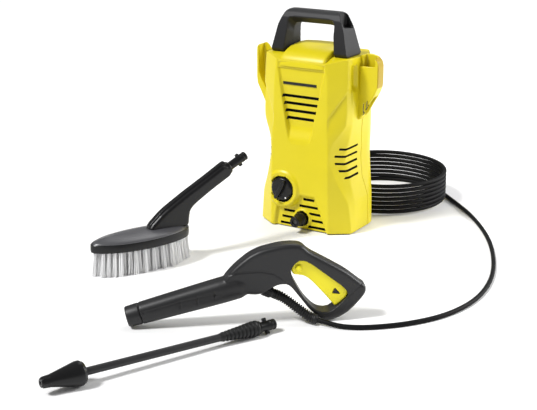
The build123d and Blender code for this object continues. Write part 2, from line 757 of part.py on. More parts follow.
TAIL_ROUTE = [
    (OUTLET_X, 104, OUTLET_Z), (OUTLET_X, 124, OUTLET_Z), (-72, 144, 63.5), (-84, 166, 65),
    (-94, 190, 66.5), (-98, 217, 67.8), (-96, 244, 68.4), (-88, 270, 68.6),
    coil_point(COIL_START_ANGLE, COIL_TOP_Z),
]
LEAD_ROUTE = [
    coil_point(COIL_END_ANGLE, HOSE_FLOOR_Z),
    (196, 262, HOSE_FLOOR_Z), (258, 200, HOSE_FLOOR_Z), (314, 130, HOSE_FLOOR_Z),
    (362, 56, HOSE_FLOOR_Z), (402, -24, HOSE_FLOOR_Z), (434, -106, HOSE_FLOOR_Z),
    (453, -186, HOSE_FLOOR_Z), (457, -264, HOSE_FLOOR_Z), (441, -338, HOSE_FLOOR_Z),
    (408, -396, HOSE_FLOOR_Z), (370, -438, HOSE_FLOOR_Z), (334, -465, HOSE_FLOOR_Z),
    (301, -476, HOSE_FLOOR_Z + 0.6), (272, -479, 9.4),
]

with BuildPart() as hose_coil:
    with Locations((*COIL_CENTRE, 0)):
        Cylinder(COIL_OUTER_RADIUS, COIL_HEIGHT, align=STANDING)
        Cylinder(COIL_INNER_RADIUS, COIL_HEIGHT, align=STANDING, mode=Mode.SUBTRACT)
    fillet(hose_coil.edges(), HOSE_RADIUS - 0.5)
hose_coil.part.label = "hose_coil"
export_step(hose_coil.part, "parts/hose_coil.step")

with BuildPart() as hose_tail:
    add(cord_tube(TAIL_ROUTE, "hose_tail"))
hose_tail.part.label = "hose_tail"
export_step(hose_tail.part, "parts/hose_tail.step")

with BuildPart() as hose_lead:
    add(cord_tube(LEAD_ROUTE, "hose_lead"))
hose_lead.part.label = "hose_lead"
export_step(hose_lead.part, "parts/hose_lead.step")

coil_length = 2 * pi * COIL_LINE_RADIUS * COIL_TURNS
print("coil length", round(coil_length))


# ---------------------------------------------------------------------------
# Trigger gun
# ---------------------------------------------------------------------------

barrel_direction = gun_point(cos(radians(BARREL_TILT)), sin(radians(BARREL_TILT))) - gun_point(0, 0)
barrel_plane = along(gun_point(0, MUZZLE_RADIUS), barrel_direction, GUN_PLANE.z_dir)
connector_direction = gun_point(24, -11) - gun_point(0, 0)
connector_plane = along(gun_point(222, 62), connector_direction, GUN_PLANE.z_dir)

GUN_BODY = [
    (150, 46), (158, 86), (166, 92), (181, 107), (202, 121), (221, 130), (253, 137), (273, 138),
    (289, 136), (302, 123), (332, 106), (365, 86), (389, 66), (397, 61), (398, 50), (392, 40),
    (378, 24), (366, 13), (352, 5), (338, 1), (325, 1), (303, 21), (289, 40), (268, 68),
    (250, 68), (236, 60), (221, 52), (205, 52),
]
FINGER_HOLE = [
    (272, 93), (274, 81), (281, 65), (294, 42), (306, 28), (316, 20), (327, 17), (338, 18),
    (352, 29), (364, 41), (366, 49), (358, 60), (328, 83), (305, 101), (294, 108), (284, 107),
]
TRIGGER_CHANNEL = [
    (268, 92), (268, 116), (300, 114), (338, 92), (372, 66), (374, 54), (364, 41), (330, 60),
    (290, 85),
]
TRIGGER_OUTLINE = [
    (273, 90), (274.5, 98), (279, 108), (286, 108), (294, 105), (305, 98), (328, 80), (357, 57),
    (364, 47), (363, 40), (356, 33), (346, 25), (341, 31), (328, 47), (305, 73), (294, 81),
    (285, 83), (276, 84),
]
VALVE_CAVITY = [
    (162, 58), (176, 90), (206, 112), (230, 122), (280, 122), (280, 100), (262, 84), (250, 76),
    (228, 68), (214, 66), (196, 60),
]

with BuildPart() as gun_nose_collar:
    add(turned(
        [(SOCKET_RADIUS, 0), (16.5, 0), (17.8, 3), (18.2, 23), (12, 23), (12, 36), (4, 36),
         (4, 30), (SOCKET_RADIUS, 30)],
        barrel_plane,
    ))
    with Locations(barrel_plane):
        with PolarLocations(11.5, 2):
            Box(6, 5, 20, align=STANDING, mode=Mode.SUBTRACT)
gun_nose_collar.part.label = "gun_nose_collar"
export_step(gun_nose_collar.part, "parts/gun_nose_collar.step")

with BuildPart() as gun_hose_connector:
    add(turned([(0, 0), (5, 0), (5, 5), (7.8, 5), (7.8, 20), (6.5, 22), (6.5, 26), (0, 26)],
               connector_plane))
gun_hose_connector.part.label = "gun_hose_connector"
export_step(gun_hose_connector.part, "parts/gun_hose_connector.step")

with BuildPart() as gun_casing:
    add(turned([(0, 23.2), (18.3, 23.2), (22, 186), (0, 186)], barrel_plane))
    with BuildSketch(GUN_PLANE):
        with BuildLine():
            Polyline(*GUN_BODY, close=True)
        make_face()
    extrude(amount=GUN_HALF_THICKNESS, both=True)
    # Finger gap, the trigger's channel in the grip, and the hollow for the valve and its tube
    with BuildSketch(GUN_PLANE):
        with BuildLine():
            Polyline(*FINGER_HOLE, close=True)
        make_face()
    extrude(amount=30, both=True, mode=Mode.SUBTRACT)
    with BuildSketch(GUN_PLANE):
        with BuildLine():
            Polyline(*TRIGGER_CHANNEL, close=True)
        make_face()
    extrude(amount=TRIGGER_HALF_THICKNESS + 0.7, both=True, mode=Mode.SUBTRACT)
    with BuildSketch(GUN_PLANE):
        with BuildLine():
            Polyline(*VALVE_CAVITY, close=True)
        make_face()
    extrude(amount=11, both=True, mode=Mode.SUBTRACT)
    add(turned([(0, 20), (12.2, 20), (12.2, 185), (0, 185)], barrel_plane), mode=Mode.SUBTRACT)
    add(turned([(0, -2), (8, -2), (8, 40), (0, 40)], connector_plane), mode=Mode.SUBTRACT)
    # Pivot pin and screw holes
    with Locations(Plane(origin=gun_point(*TRIGGER_PIVOT), z_dir=GUN_PLANE.z_dir)):
        Cylinder(2.5, 30, mode=Mode.SUBTRACT)
    for x, y in [(40, 19), (146, 52)]:
        with Locations(Plane(origin=gun_point(x, y, 6), z_dir=GUN_PLANE.z_dir)):
            Cylinder(2.6, 30, align=STANDING, mode=Mode.SUBTRACT)

with BuildPart() as gun_shell_right:
    add(gun_casing.part)
    split(bisect_by=GUN_PLANE, keep=Keep.TOP)
gun_shell_right.part.label = "gun_shell_right"
export_step(gun_shell_right.part, "parts/gun_shell_right.step")

with BuildPart() as gun_shell_left:
    add(gun_casing.part)
    split(bisect_by=GUN_PLANE, keep=Keep.BOTTOM)
gun_shell_left.part.label = "gun_shell_left"
export_step(gun_shell_left.part, "parts/gun_shell_left.step")

with BuildPart() as gun_screws:
    for x, y in [(40, 19), (146, 52)]:
        with Locations(Plane(origin=gun_point(x, y, 6), z_dir=GUN_PLANE.z_dir)):
            Cylinder(2.5, 7, align=STANDING)
gun_screws.part.label = "gun_screws"
export_step(gun_screws.part, "parts/gun_screws.step")

LOCK_OUTLINE = [(345.5, 57.5), (341.5, 49), (354, 47)]

with BuildPart() as gun_trigger:
    with BuildSketch(GUN_PLANE):
        with BuildLine():
            Polyline(*TRIGGER_OUTLINE, close=True)
        make_face()
    extrude(amount=TRIGGER_HALF_THICKNESS, both=True)
    with Locations(Plane(origin=gun_point(*TRIGGER_PIVOT), z_dir=GUN_PLANE.z_dir)):
        Cylinder(2.5 + RUNNING_GAP, 30, mode=Mode.SUBTRACT)
    with BuildSketch(GUN_PLANE):
        with BuildLine():
            Polyline(*LOCK_OUTLINE, close=True)
        make_face()
        offset(amount=0.3, kind=Kind.INTERSECTION)
    extrude(amount=30, both=True, mode=Mode.SUBTRACT)
gun_trigger.part.label = "gun_trigger"
export_step(gun_trigger.part, "parts/gun_trigger.step")

with BuildPart() as trigger_lock:
    with BuildSketch(GUN_PLANE.offset(-4)):
        with BuildLine():
            Polyline(*LOCK_OUTLINE, close=True)
        make_face()
    extrude(amount=TRIGGER_HALF_THICKNESS + 4)
trigger_lock.part.label = "trigger_lock"
export_step(trigger_lock.part, "parts/trigger_lock.step")

with BuildPart() as trigger_pin:
    with Locations(Plane(origin=gun_point(*TRIGGER_PIVOT), z_dir=GUN_PLANE.z_dir)):
        Cylinder(2.5, 28)
trigger_pin.part.label = "trigger_pin"
export_step(trigger_pin.part, "parts/trigger_pin.step")

VALVE_Y = 104.0
valve_plane = along(gun_point(222, VALVE_Y), GUN_PLANE.x_dir, GUN_PLANE.z_dir)

with BuildPart() as gun_valve_body:
    add(turned([(0, 0), (9, 0), (9, 38), (2 + RUNNING_GAP, 38), (2 + RUNNING_GAP, 24), (5, 24),
                (5, 6), (0, 6)], valve_plane))
gun_valve_body.part.label = "gun_valve_body"
export_step(gun_valve_body.part, "parts/gun_valve_body.step")

with BuildPart() as one_valve_spring:
    with BuildLine() as valve_coil_line:
        Helix(pitch=3, height=13.5, radius=3.6)
    with BuildSketch(Plane(origin=valve_coil_line.line @ 0, z_dir=valve_coil_line.line % 0)):
        Circle(0.6)
    sweep(is_frenet=True)

with BuildPart() as valve_spring:
    with Locations(valve_plane.offset(7.5)):
        add(one_valve_spring.part)
valve_spring.part.label = "valve_spring"
export_step(valve_spring.part, "parts/valve_spring.step")

with BuildPart() as valve_pin:
    add(turned(tube_profile(0, 2, 26, 54), valve_plane))
valve_pin.part.label = "valve_pin"
export_step(valve_pin.part, "parts/valve_pin.step")

with BuildPart() as gun_water_tube:
    with BuildLine() as water_line:
        FilletPolyline(gun_point(35, 27), gun_point(178, 64), gun_point(222, VALVE_Y), radius=40)
    with BuildSketch(Plane(origin=water_line.line @ 0, z_dir=water_line.line % 0)):
        Circle(3.5)
    sweep()
gun_water_tube.part.label = "gun_water_tube"
export_step(gun_water_tube.part, "parts/gun_water_tube.step")

RELIEF_START = connector_plane.from_local_coords(Vector(0, 0, 26))
RELIEF_ROUTE = [
    RELIEF_START, RELIEF_START + connector_plane.z_dir * 16, Vector(257, -480.6, 11.7),
    Vector(272, -479, 9.4),
]

with BuildPart() as gun_strain_relief:
    with BuildLine() as relief_line:
        FilletPolyline(*RELIEF_ROUTE, radius=[45, 42])
    with BuildSketch(Plane(origin=relief_line.line @ 0, z_dir=relief_line.line % 0)):
        Circle(6.6)
    sweep()
    # Raised ribs
    for rib in range(15):
        place = 0.035 + 0.064 * rib
        with Locations(Plane(origin=relief_line.line @ place, z_dir=relief_line.line % place)):
            Cylinder(8.0, 2.2)
gun_strain_relief.part.label = "gun_strain_relief"
export_step(gun_strain_relief.part, "parts/gun_strain_relief.step")


# ---------------------------------------------------------------------------
# Rotary lance
# ---------------------------------------------------------------------------

lance_direction = (LANCE_END - LANCE_TIP).normalized()
lance_plane = Plane(
    origin=LANCE_TIP, x_dir=lance_direction.cross(Vector(0, 0, 1)), z_dir=lance_direction
)
LANCE_LENGTH = (LANCE_END - LANCE_TIP).length
CONE_END, BOOT_START, BOOT_END = 69.0, 312.0, 380.0
TUBE_RADIUS = 6.2

with BuildPart() as nozzle_cone:
    add(turned(
        [(2, 0), (7.5, 0), (8.2, 9), (19.4, 58), (19.4, 64), (16.5, CONE_END),
         (TUBE_RADIUS, CONE_END), (TUBE_RADIUS, 61), (15, 61), (15, 56), (5, 12), (2, 9)],
        lance_plane,
    ))
nozzle_cone.part.label = "nozzle_cone"
export_step(nozzle_cone.part, "parts/nozzle_cone.step")

with BuildPart() as nozzle_rotor:
    add(turned([(0, 14), (3, 14), (12, 54), (12, 58), (2, 58), (2, 67), (0, 67)], lance_plane))
nozzle_rotor.part.label = "nozzle_rotor"
export_step(nozzle_rotor.part, "parts/nozzle_rotor.step")

with BuildPart() as lance_tube:
    add(turned(
        [(2 + RUNNING_GAP, 61), (TUBE_RADIUS, 61), (TUBE_RADIUS, BOOT_END), (3.2, BOOT_END),
         (3.2, 70), (2 + RUNNING_GAP, 70)],
        lance_plane,
    ))
lance_tube.part.label = "lance_tube"
export_step(lance_tube.part, "parts/lance_tube.step")

RIB_COUNT = 8
RIB_PITCH = 7.4

with BuildPart() as lance_boot:
    boot_profile = [(TUBE_RADIUS, BOOT_START)]
    for rib in range(RIB_COUNT):
        rib_radius = 7.6 + 0.75 * rib
        rib_low = BOOT_START + rib * RIB_PITCH
        boot_profile += [
            (rib_radius, rib_low), (rib_radius + 0.5, rib_low + 4.6),
            (rib_radius - 0.9, rib_low + 5), (rib_radius - 0.7, rib_low + RIB_PITCH),
        ]
    boot_profile += [(13.2, 371.5), (13.2, 376), (11, BOOT_END), (TUBE_RADIUS, BOOT_END)]
    add(turned(boot_profile, lance_plane))
lance_boot.part.label = "lance_boot"
export_step(lance_boot.part, "parts/lance_boot.step")


def bayonet_spigot(plane, low, high, lug_angle):
    """A round spigot with a flange at its root and two opposite lugs."""
    with BuildPart() as spigot:
        add(turned(
            [(2.5, low), (11, low), (11, low + 3), (SPIGOT_NECK_RADIUS, low + 3),
             (SPIGOT_NECK_RADIUS, high - SPIGOT_TIP_LENGTH),
             (SPIGOT_RADIUS, high - SPIGOT_TIP_LENGTH), (SPIGOT_RADIUS, high), (2.5, high)],
            plane,
        ))
        with Locations(plane.offset(high - 21)):
            with PolarLocations(SPIGOT_RADIUS + 1.3, 2, start_angle=lug_angle):
                Box(2 * (LUG_REACH - SPIGOT_RADIUS - 1.3), 5, 7, align=STANDING)
    return spigot.part


with BuildPart() as lance_bayonet:
    add(bayonet_spigot(lance_plane, BOOT_END, LANCE_LENGTH, 58))
lance_bayonet.part.label = "lance_bayonet"
export_step(lance_bayonet.part, "parts/lance_bayonet.step")


# ---------------------------------------------------------------------------
# Wash brush
# ---------------------------------------------------------------------------

BRUSH_HEAD_LENGTH = 207.0
BRUSH_HALF_WIDTH = 41.5
BRUSH_HALF_OUTLINE = [(4, 9), (20, 21), (52, 35), (105, 41.5), (155, 36.5), (190, 23), (203, 9)]


def brush_slab(low, high, inset):
    """A slab of the brush head's outline between two heights, drawn in by an inset."""
    ground = Plane(origin=BRUSH_PLANE.origin, x_dir=BRUSH_PLANE.x_dir, z_dir=(0, 0, 1))
    middle = BRUSH_HEAD_LENGTH / 2
    near_half = [
        (middle + (x - middle) * (1 - inset / middle), y * (1 - inset / BRUSH_HALF_WIDTH))
        for x, y in BRUSH_HALF_OUTLINE
    ]
    far_half = [(x, -y) for x, y in reversed(near_half)]
    with BuildPart() as slab:
        with BuildSketch(ground.offset(low)):
            with BuildLine():
                near = Spline(*near_half, tangents=[(1, 1.4), (1, -1.4)])
                far = Spline(*far_half, tangents=[(-1, -1.4), (-1, 1.4)])
                ThreePointArc(near @ 1, (BRUSH_HEAD_LENGTH - inset, 0), far @ 0)
                ThreePointArc(far @ 1, (inset, 0), near @ 0)
            make_face()
        extrude(amount=high - low)
    return slab.part


with BuildPart() as brush_head:
    add(brush_slab(BRISTLE_HEIGHT, BRUSH_BAND_TOP - 3, 0))
    add(brush_slab(BRUSH_BAND_TOP - 3, BRUSH_BAND_TOP, 3))
    add(brush_slab(BRUSH_BAND_TOP, BRUSH_BAND_TOP + 4, 14))
brush_head.part.label = "brush_head"
export_step(brush_head.part, "parts/brush_head.step")

with BuildPart() as brush_bristles:
    add(brush_slab(0.2, BRISTLE_HEIGHT, 6))
brush_bristles.part.label = "brush_bristles"
export_step(brush_bristles.part, "parts/brush_bristles.step")

SPIGOT_FOOT = (300.0, 160.5)
spigot_direction = brush_point(cos(radians(BRUSH_SPIGOT_TILT)), sin(radians(BRUSH_SPIGOT_TILT)))
spigot_direction = spigot_direction - brush_point(0, 0)
brush_spigot_plane = along(brush_point(*SPIGOT_FOOT), spigot_direction, BRUSH_PLANE.z_dir)
BRUSH_SPIGOT_LENGTH = 43.0

with BuildPart() as brush_handle:
    with BuildSketch(BRUSH_PLANE):
        with BuildLine():
            Polyline(
                (120, BRUSH_BAND_TOP), (122, 76), (149, 101), (196, 127), (245, 151), (291, 174),
                (307, 150), (256, 124), (215, 101), (203, 90), (202, BRUSH_BAND_TOP), close=True,
            )
        make_face()
    extrude(amount=12.5, both=True)
    add(brush_head.part, mode=Mode.SUBTRACT)
    add(bayonet_spigot(brush_spigot_plane, -2, BRUSH_SPIGOT_LENGTH, 90))
brush_handle.part.label = "brush_handle"
export_step(brush_handle.part, "parts/brush_handle.step")
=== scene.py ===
import json
import random
from math import cos, pi, radians, sin

import bpy
import numpy as np
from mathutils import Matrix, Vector


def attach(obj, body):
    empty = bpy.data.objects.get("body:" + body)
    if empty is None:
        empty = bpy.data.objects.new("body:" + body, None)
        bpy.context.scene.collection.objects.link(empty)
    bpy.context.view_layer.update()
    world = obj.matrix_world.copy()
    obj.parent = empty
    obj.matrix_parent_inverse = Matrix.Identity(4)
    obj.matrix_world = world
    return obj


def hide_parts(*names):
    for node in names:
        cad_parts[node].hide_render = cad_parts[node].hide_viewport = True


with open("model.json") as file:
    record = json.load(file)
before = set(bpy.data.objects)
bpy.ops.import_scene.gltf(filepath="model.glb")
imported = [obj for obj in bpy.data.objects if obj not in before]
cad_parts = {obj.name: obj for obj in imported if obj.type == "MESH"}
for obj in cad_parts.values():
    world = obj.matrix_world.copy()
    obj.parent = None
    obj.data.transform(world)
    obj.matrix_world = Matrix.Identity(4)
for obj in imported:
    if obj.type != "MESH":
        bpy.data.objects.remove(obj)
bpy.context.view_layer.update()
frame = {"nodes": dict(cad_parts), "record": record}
nodes = frame["nodes"]

# Lengths below are in millimetres unless a name says otherwise; meshes are written in metres.
MM = 0.001


def placed(name, data):
    """A new object that holds some data, linked into the scene."""
    obj = bpy.data.objects.new(name, data)
    bpy.context.scene.collection.objects.link(obj)
    return obj


# ---------------------------------------------------------------------------
# Camera, light and floor
# ---------------------------------------------------------------------------

CAMERA_AZIMUTH = 31.67
CAMERA_ELEVATION = 17.70
CAMERA_DISTANCE_M = 2.4925
CAMERA_TARGET_M = Vector((-0.0862, -0.0532, 0.0335))
CAMERA_LENS = 79.9
SUN_AZIMUTH, SUN_ELEVATION, SUN_STRENGTH, SUN_ANGLE = -34, 52, 3.2, 14
AREA_LIGHTS = [
    # name, azimuth, elevation, distance and size in metres, watts
    ("side", 130, 24, 2.6, 1.4, 58),
    ("back", -160, 50, 3.0, 1.6, 16),
]
LIT_POINT_M = Vector((0.0, -0.1, 0.15))
WORLD_STRENGTH = 0.29
FLOOR_REACH_M = 14.0


def view_direction(azimuth, elevation):
    """Unit vector from the object towards a viewer; azimuth 0 looks along +Y."""
    az, el = radians(azimuth), radians(elevation)
    return Vector((sin(az) * cos(el), -cos(az) * cos(el), sin(el)))


def make_camera():
    camera = placed("camera", bpy.data.cameras.new("camera"))
    camera.data.lens = CAMERA_LENS
    camera.data.sensor_width = 36.0
    camera.data.clip_end = 20.0
    back = view_direction(CAMERA_AZIMUTH, CAMERA_ELEVATION)
    camera.location = CAMERA_TARGET_M + back * CAMERA_DISTANCE_M
    camera.rotation_euler = back.to_track_quat("Z", "Y").to_euler()
    bpy.context.scene.camera = camera


def area_light(name, azimuth, elevation, distance_m, size_m, watts):
    light = bpy.data.lights.new(name, "AREA")
    light.shape = "DISK"
    light.size = size_m
    light.energy = watts
    direction = view_direction(azimuth, elevation)
    lamp = placed(name, light)
    lamp.location = LIT_POINT_M + direction * distance_m
    lamp.rotation_euler = direction.to_track_quat("Z", "Y").to_euler()


def make_stage():
    sun = bpy.data.lights.new("key", "SUN")
    sun.energy = SUN_STRENGTH
    sun.angle = radians(SUN_ANGLE)
    towards_sun = view_direction(SUN_AZIMUTH, SUN_ELEVATION)
    placed("key", sun).rotation_euler = towards_sun.to_track_quat("Z", "Y").to_euler()
    for row in AREA_LIGHTS:
        area_light(*row)
    world = bpy.data.worlds.new("studio")
    bpy.context.scene.world = world
    world.use_nodes = True
    background = world.node_tree.nodes["Background"]
    background.inputs["Color"].default_value = (1.0, 1.0, 1.0, 1.0)
    background.inputs["Strength"].default_value = WORLD_STRENGTH
    mesh = bpy.data.meshes.new("floor")
    corners = [(-1, -1), (1, -1), (1, 1), (-1, 1)]
    mesh.from_pydata([(x * FLOOR_REACH_M, y * FLOOR_REACH_M, 0) for x, y in corners],
                     [], [(0, 1, 2, 3)])
    floor = placed("floor", mesh)
    material = bpy.data.materials.new("floor")
    material.use_nodes = True
    shader = material.node_tree.nodes["Principled BSDF"]
    shader.inputs["Base Color"].default_value = (0.93, 0.93, 0.93, 1.0)
    shader.inputs["Roughness"].default_value = 0.85
    mesh.materials.append(material)
    bpy.context.scene.view_settings.view_transform = "Standard"


# ---------------------------------------------------------------------------
# Materials
# ---------------------------------------------------------------------------

def node(tree, kind, **inputs):
    made = tree.nodes.new(kind)
    for name, value in inputs.items():
        made.inputs[name.replace("_", " ")].default_value = value
    return made


def ramp(tree, positions, colours):
    """A colour ramp node with two stops."""
    made = tree.nodes.new("ShaderNodeValToRGB")
    for stop, position, colour in zip(made.color_ramp.elements, positions, colours):
        stop.position = position
        stop.color = colour
    return made


def moulded(name, colour, roughness, grain_m, grain_depth, mottle, wear, metallic=0.0, coat=0.0,
            gloss=0.5, streaks=None):
    """A finished surface: mottled colour, uneven gloss, a fine grain, and lighter rubbed edges."""
    material = bpy.data.materials.new(name)
    material.use_nodes = True
    tree = material.node_tree
    wire = tree.links.new
    shader = tree.nodes["Principled BSDF"]
    shader.inputs["Metallic"].default_value = metallic
    shader.inputs["Coat Weight"].default_value = coat
    shader.inputs["Specular IOR Level"].default_value = gloss
    shader.inputs["Coat Roughness"].default_value = 0.25
    place = tree.nodes.new("ShaderNodeTexCoord")
    mapping = tree.nodes.new("ShaderNodeMapping")
    if streaks:
        mapping.inputs["Scale"].default_value = streaks
    wire(place.outputs["Object"], mapping.inputs["Vector"])

    cloud = node(tree, "ShaderNodeTexNoise", Scale=14.0, Detail=5.0, Roughness=0.6)
    wire(mapping.outputs["Vector"], cloud.inputs["Vector"])
    shades = [[min(1, c * level) for c in colour] + [1] for level in (1.0 - mottle, 1.0 + mottle)]
    shade = ramp(tree, (0.3, 0.7), shades)
    wire(cloud.outputs["Fac"], shade.inputs["Fac"])

    # Edges rub lighter: Pointiness picks out convex edges of the mesh
    geometry = tree.nodes.new("ShaderNodeNewGeometry")
    edge = ramp(tree, (0.52, 0.60), [(0, 0, 0, 1), (wear, wear, wear, 1)])
    wire(geometry.outputs["Pointiness"], edge.inputs["Fac"])
    rub = tree.nodes.new("ShaderNodeMix")
    rub.data_type = "RGBA"
    rub.inputs["B"].default_value = [min(1, c * 1.25 + 0.12) for c in colour] + [1]
    wire(edge.outputs["Color"], rub.inputs["Factor"])
    wire(shade.outputs["Color"], rub.inputs["A"])
    wire(rub.outputs["Result"], shader.inputs["Base Color"])

    fine = node(tree, "ShaderNodeTexNoise", Scale=1.0 / grain_m, Detail=3.0, Roughness=0.55)
    wire(mapping.outputs["Vector"], fine.inputs["Vector"])
    sheen = node(tree, "ShaderNodeMapRange", To_Min=roughness - 0.06, To_Max=roughness + 0.07)
    wire(cloud.outputs["Fac"], sheen.inputs["Value"])
    wire(sheen.outputs["Result"], shader.inputs["Roughness"])
    bump = node(tree, "ShaderNodeBump", Strength=grain_depth, Distance=0.0004)
    wire(fine.outputs["Fac"], bump.inputs["Height"])
    wire(bump.outputs["Normal"], shader.inputs["Normal"])
    return material


YELLOW = (0.69, 0.575, 0.007)
BRUSHED_STEEL, LAMINATED, WOUND, COMBED = (1, 1, 0.2), (0.1, 0.1, 3), (0.3, 0.3, 2), (1, 1, 0.05)
FINISHES = {
    # slot: colour, roughness, grain size in metres, grain depth, mottle, edge wear, other settings
    "yellow_shell": (YELLOW, 0.38, 0.0011, 0.10, 0.025, 0.20, {"coat": 0.08, "gloss": 0.35}),
    # Darker amber painted shade for the right holder's rim, standing in for its shade and
    # inter-reflection
    "yellow_painted_shade": ((0.44, 0.30, 0.005), 0.40, 0.0011, 0.10, 0.04, 0.10, {"gloss": 0.3}),
    "dark_handle": ((0.012, 0.012, 0.0135), 0.50, 0.0009, 0.30, 0.12, 0.08, {"gloss": 0.32}),
    # Lighter grey painted sheen for the brush head's upward face, together with real gloss
    "brush_painted_sheen": ((0.060, 0.060, 0.066), 0.36, 0.0009, 0.20, 0.10, 0.10, {"gloss": 0.8}),
    "black_plastic": ((0.005, 0.005, 0.0055), 0.30, 0.0009, 0.15, 0.15, 0.08, {"gloss": 0.32}),
    "gun_plastic": ((0.013, 0.013, 0.014), 0.42, 0.0008, 0.32, 0.12, 0.10, {"gloss": 0.42}),
    # The trigger's own yellow, lifted brighter than the shell's as painted light where the lamps
    # barely reach it
    "trigger_yellow": ((0.98, 0.86, 0.012), 0.32, 0.0010, 0.08, 0.02, 0.1,
                       {"coat": 0.1, "gloss": 0.35}),
    "hose_rubber": ((0.004, 0.004, 0.0045), 0.55, 0.0011, 0.20, 0.15, 0.04, {"gloss": 0.12}),
    "soft_rubber": ((0.008, 0.008, 0.0085), 0.50, 0.0007, 0.30, 0.12, 0.08, {"gloss": 0.35}),
    "bristle": ((0.93, 0.93, 0.94), 0.45, 0.0006, 0.10, 0.10, 0.0, {"streaks": COMBED}),
    "steel": ((0.55, 0.56, 0.58), 0.30, 0.0005, 0.12, 0.08, 0.2,
              {"metallic": 1.0, "streaks": BRUSHED_STEEL}),
    "aluminium": ((0.66, 0.66, 0.68), 0.42, 0.0008, 0.3, 0.06, 0.2, {"metallic": 1.0}),
    "brass": ((0.72, 0.54, 0.24), 0.28, 0.0006, 0.12, 0.08, 0.2, {"metallic": 1.0}),
    "laminated_steel": ((0.26, 0.27, 0.29), 0.45, 0.0006, 0.4, 0.08, 0.2,
                        {"metallic": 0.8, "streaks": LAMINATED}),
    "copper": ((0.62, 0.30, 0.15), 0.30, 0.0007, 0.5, 0.12, 0.2,
               {"metallic": 0.9, "streaks": WOUND}),
    "carbon": ((0.05, 0.05, 0.055), 0.6, 0.0004, 0.3, 0.1, 0.1, {}),
    "grey_plastic": ((0.30, 0.31, 0.33), 0.45, 0.0008, 0.25, 0.06, 0.1, {}),
    "white_gear": ((0.76, 0.75, 0.70), 0.35, 0.0008, 0.12, 0.03, 0.1, {}),
    "filter_mesh": ((0.07, 0.07, 0.075), 0.4, 0.0006, 0.5, 0.06, 0.1, {}),
    # Near-black painted shade inside slots, wells, slits and pockets; also the printed bar mark's own
    # colour
    "slot_dark": ((0.004, 0.004, 0.004), 0.6, 0.001, 0.1, 0.2, 0.0, {}),
    "white_mark": ((0.85, 0.85, 0.85), 0.4, 0.001, 0.05, 0.02, 0.0, {}),
}
materials = {name: moulded(name, *row[:6], **row[6]) for name, row in FINISHES.items()}

node_slot = {row["node"]: row["material_slot"] for row in frame["record"]["subparts"]}


EDGE_WIDTH_M, WELD_DISTANCE_M = 0.0006, 0.00002
SOFTENED_NODES = ["hose_outlet", "hose_end_coupling", "cable_gland", "rubber_feet", "gun_screws"]


def finish_nodes():
    """Give every carried-over CAD node its slot's material; the SOFTENED_NODES also get softly rounded
    edges.
    """
    for name, obj in nodes.items():
        obj.data.materials.clear()
        obj.data.materials.append(materials[node_slot[name]])
        if name in SOFTENED_NODES:
            obj.modifiers.new("weld", "WELD").merge_threshold = WELD_DISTANCE_M
            add_bevel(obj, EDGE_WIDTH_M, 40, 2)


# ---------------------------------------------------------------------------
# Mesh helpers
# ---------------------------------------------------------------------------

def piece(name, mesh, body, slots, replaces=(), smooth_angle=40.0):
    """Link a mesh as a named piece that rides on a body; slots lists its materials."""
    obj = placed(name, mesh)
    for slot_name in slots:
        mesh.materials.append(materials[slot_name])
    mesh.shade_smooth()
    mesh.set_sharp_from_angle(angle=radians(smooth_angle))
    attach(obj, body)
    if replaces:
        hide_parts(*replaces)
    return obj


def mesh_from(name, points, faces):
    """A mesh from points in millimetres."""
    mesh = bpy.data.meshes.new(name)
    mesh.from_pydata((np.asarray(points, float) * MM).tolist(), [], [tuple(f) for f in faces])
    mesh.update()
    return mesh


def grid_faces(rows, columns, wrap=True):
    """Quads between rows of points; wrap joins each row's last point to its first."""
    faces = []
    last = columns if wrap else columns - 1
    for row in range(rows - 1):
        for column in range(last):
            a = row * columns + column
            b = row * columns + (column + 1) % columns
            faces.append((a, b, b + columns, a + columns))
    return faces


def tube_faces(rows, columns):
    """Faces of closed rows of points, with a face over each end."""
    ends = [tuple(reversed(range(columns))), tuple(range((rows - 1) * columns, rows * columns))]
    return grid_faces(rows, columns) + ends


def across(direction):
    """Two directions square to one another and to a third that isn't upright."""
    side = np.cross(direction, (0, 0, 1.0))
    side /= np.linalg.norm(side)
    return side, np.cross(direction, side)


def round_places(middle, direction, radius, count):
    """Points evenly spaced on a circle about an axis, each with its outward direction."""
    side, other = across(direction)
    turns = [2 * pi * step / count for step in range(count)]
    outs = [cos(turn) * side + sin(turn) * other for turn in turns]
    return [(middle + radius * out, out) for out in outs]


class Flat:
    """A flat drawing plane: x along it, y up it and a side distance along its normal."""

    def __init__(self, origin, x_dir, y_dir):
        self.origin = np.array(origin, float)
        self.x = np.array(x_dir, float) / np.linalg.norm(x_dir)
        y = np.array(y_dir, float) - self.x * np.dot(self.x, y_dir)
        self.y = y / np.linalg.norm(y)
        self.side = np.cross(self.x, self.y)

    def points(self, local):
        local = np.asarray(local, float)
        return (self.origin + local[:, :1] * self.x + local[:, 1:2] * self.y
                + local[:, 2:3] * self.side)

    def at(self, x, y, side=0.0):
        return self.points([(x, y, side)])[0]

    def direction(self, x, y):
        along = self.x * x + self.y * y
        return along / np.linalg.norm(along)

    def local(self, points):
        away = np.asarray(points, float) - self.origin
        return np.stack([away @ self.x, away @ self.y, away @ self.side], axis=1)


FRONT = Flat((0, 0, 0), (1, 0, 0), (0, 0, 1))
SIDE = Flat((0, 0, 0), (0, 1, 0), (0, 0, 1))
GUN = Flat((8, -651, 0), (0.787, 0.617, 0), (0, 0, 1))
BRUSH = Flat((-190, -502, 0), (0.4008, 0.9162, 0), (0, 0, 1))


def rounded(outline, rounds, share):
    """Cut an outline's corners again and again until they are round."""
    points = [np.array(p, float) for p in outline]
    for _ in range(rounds):
        cut = []
        for here, after in zip(points, points[1:] + points[:1]):
            cut += [here + (after - here) * share, after + (here - after) * share]
        points = cut
    return points


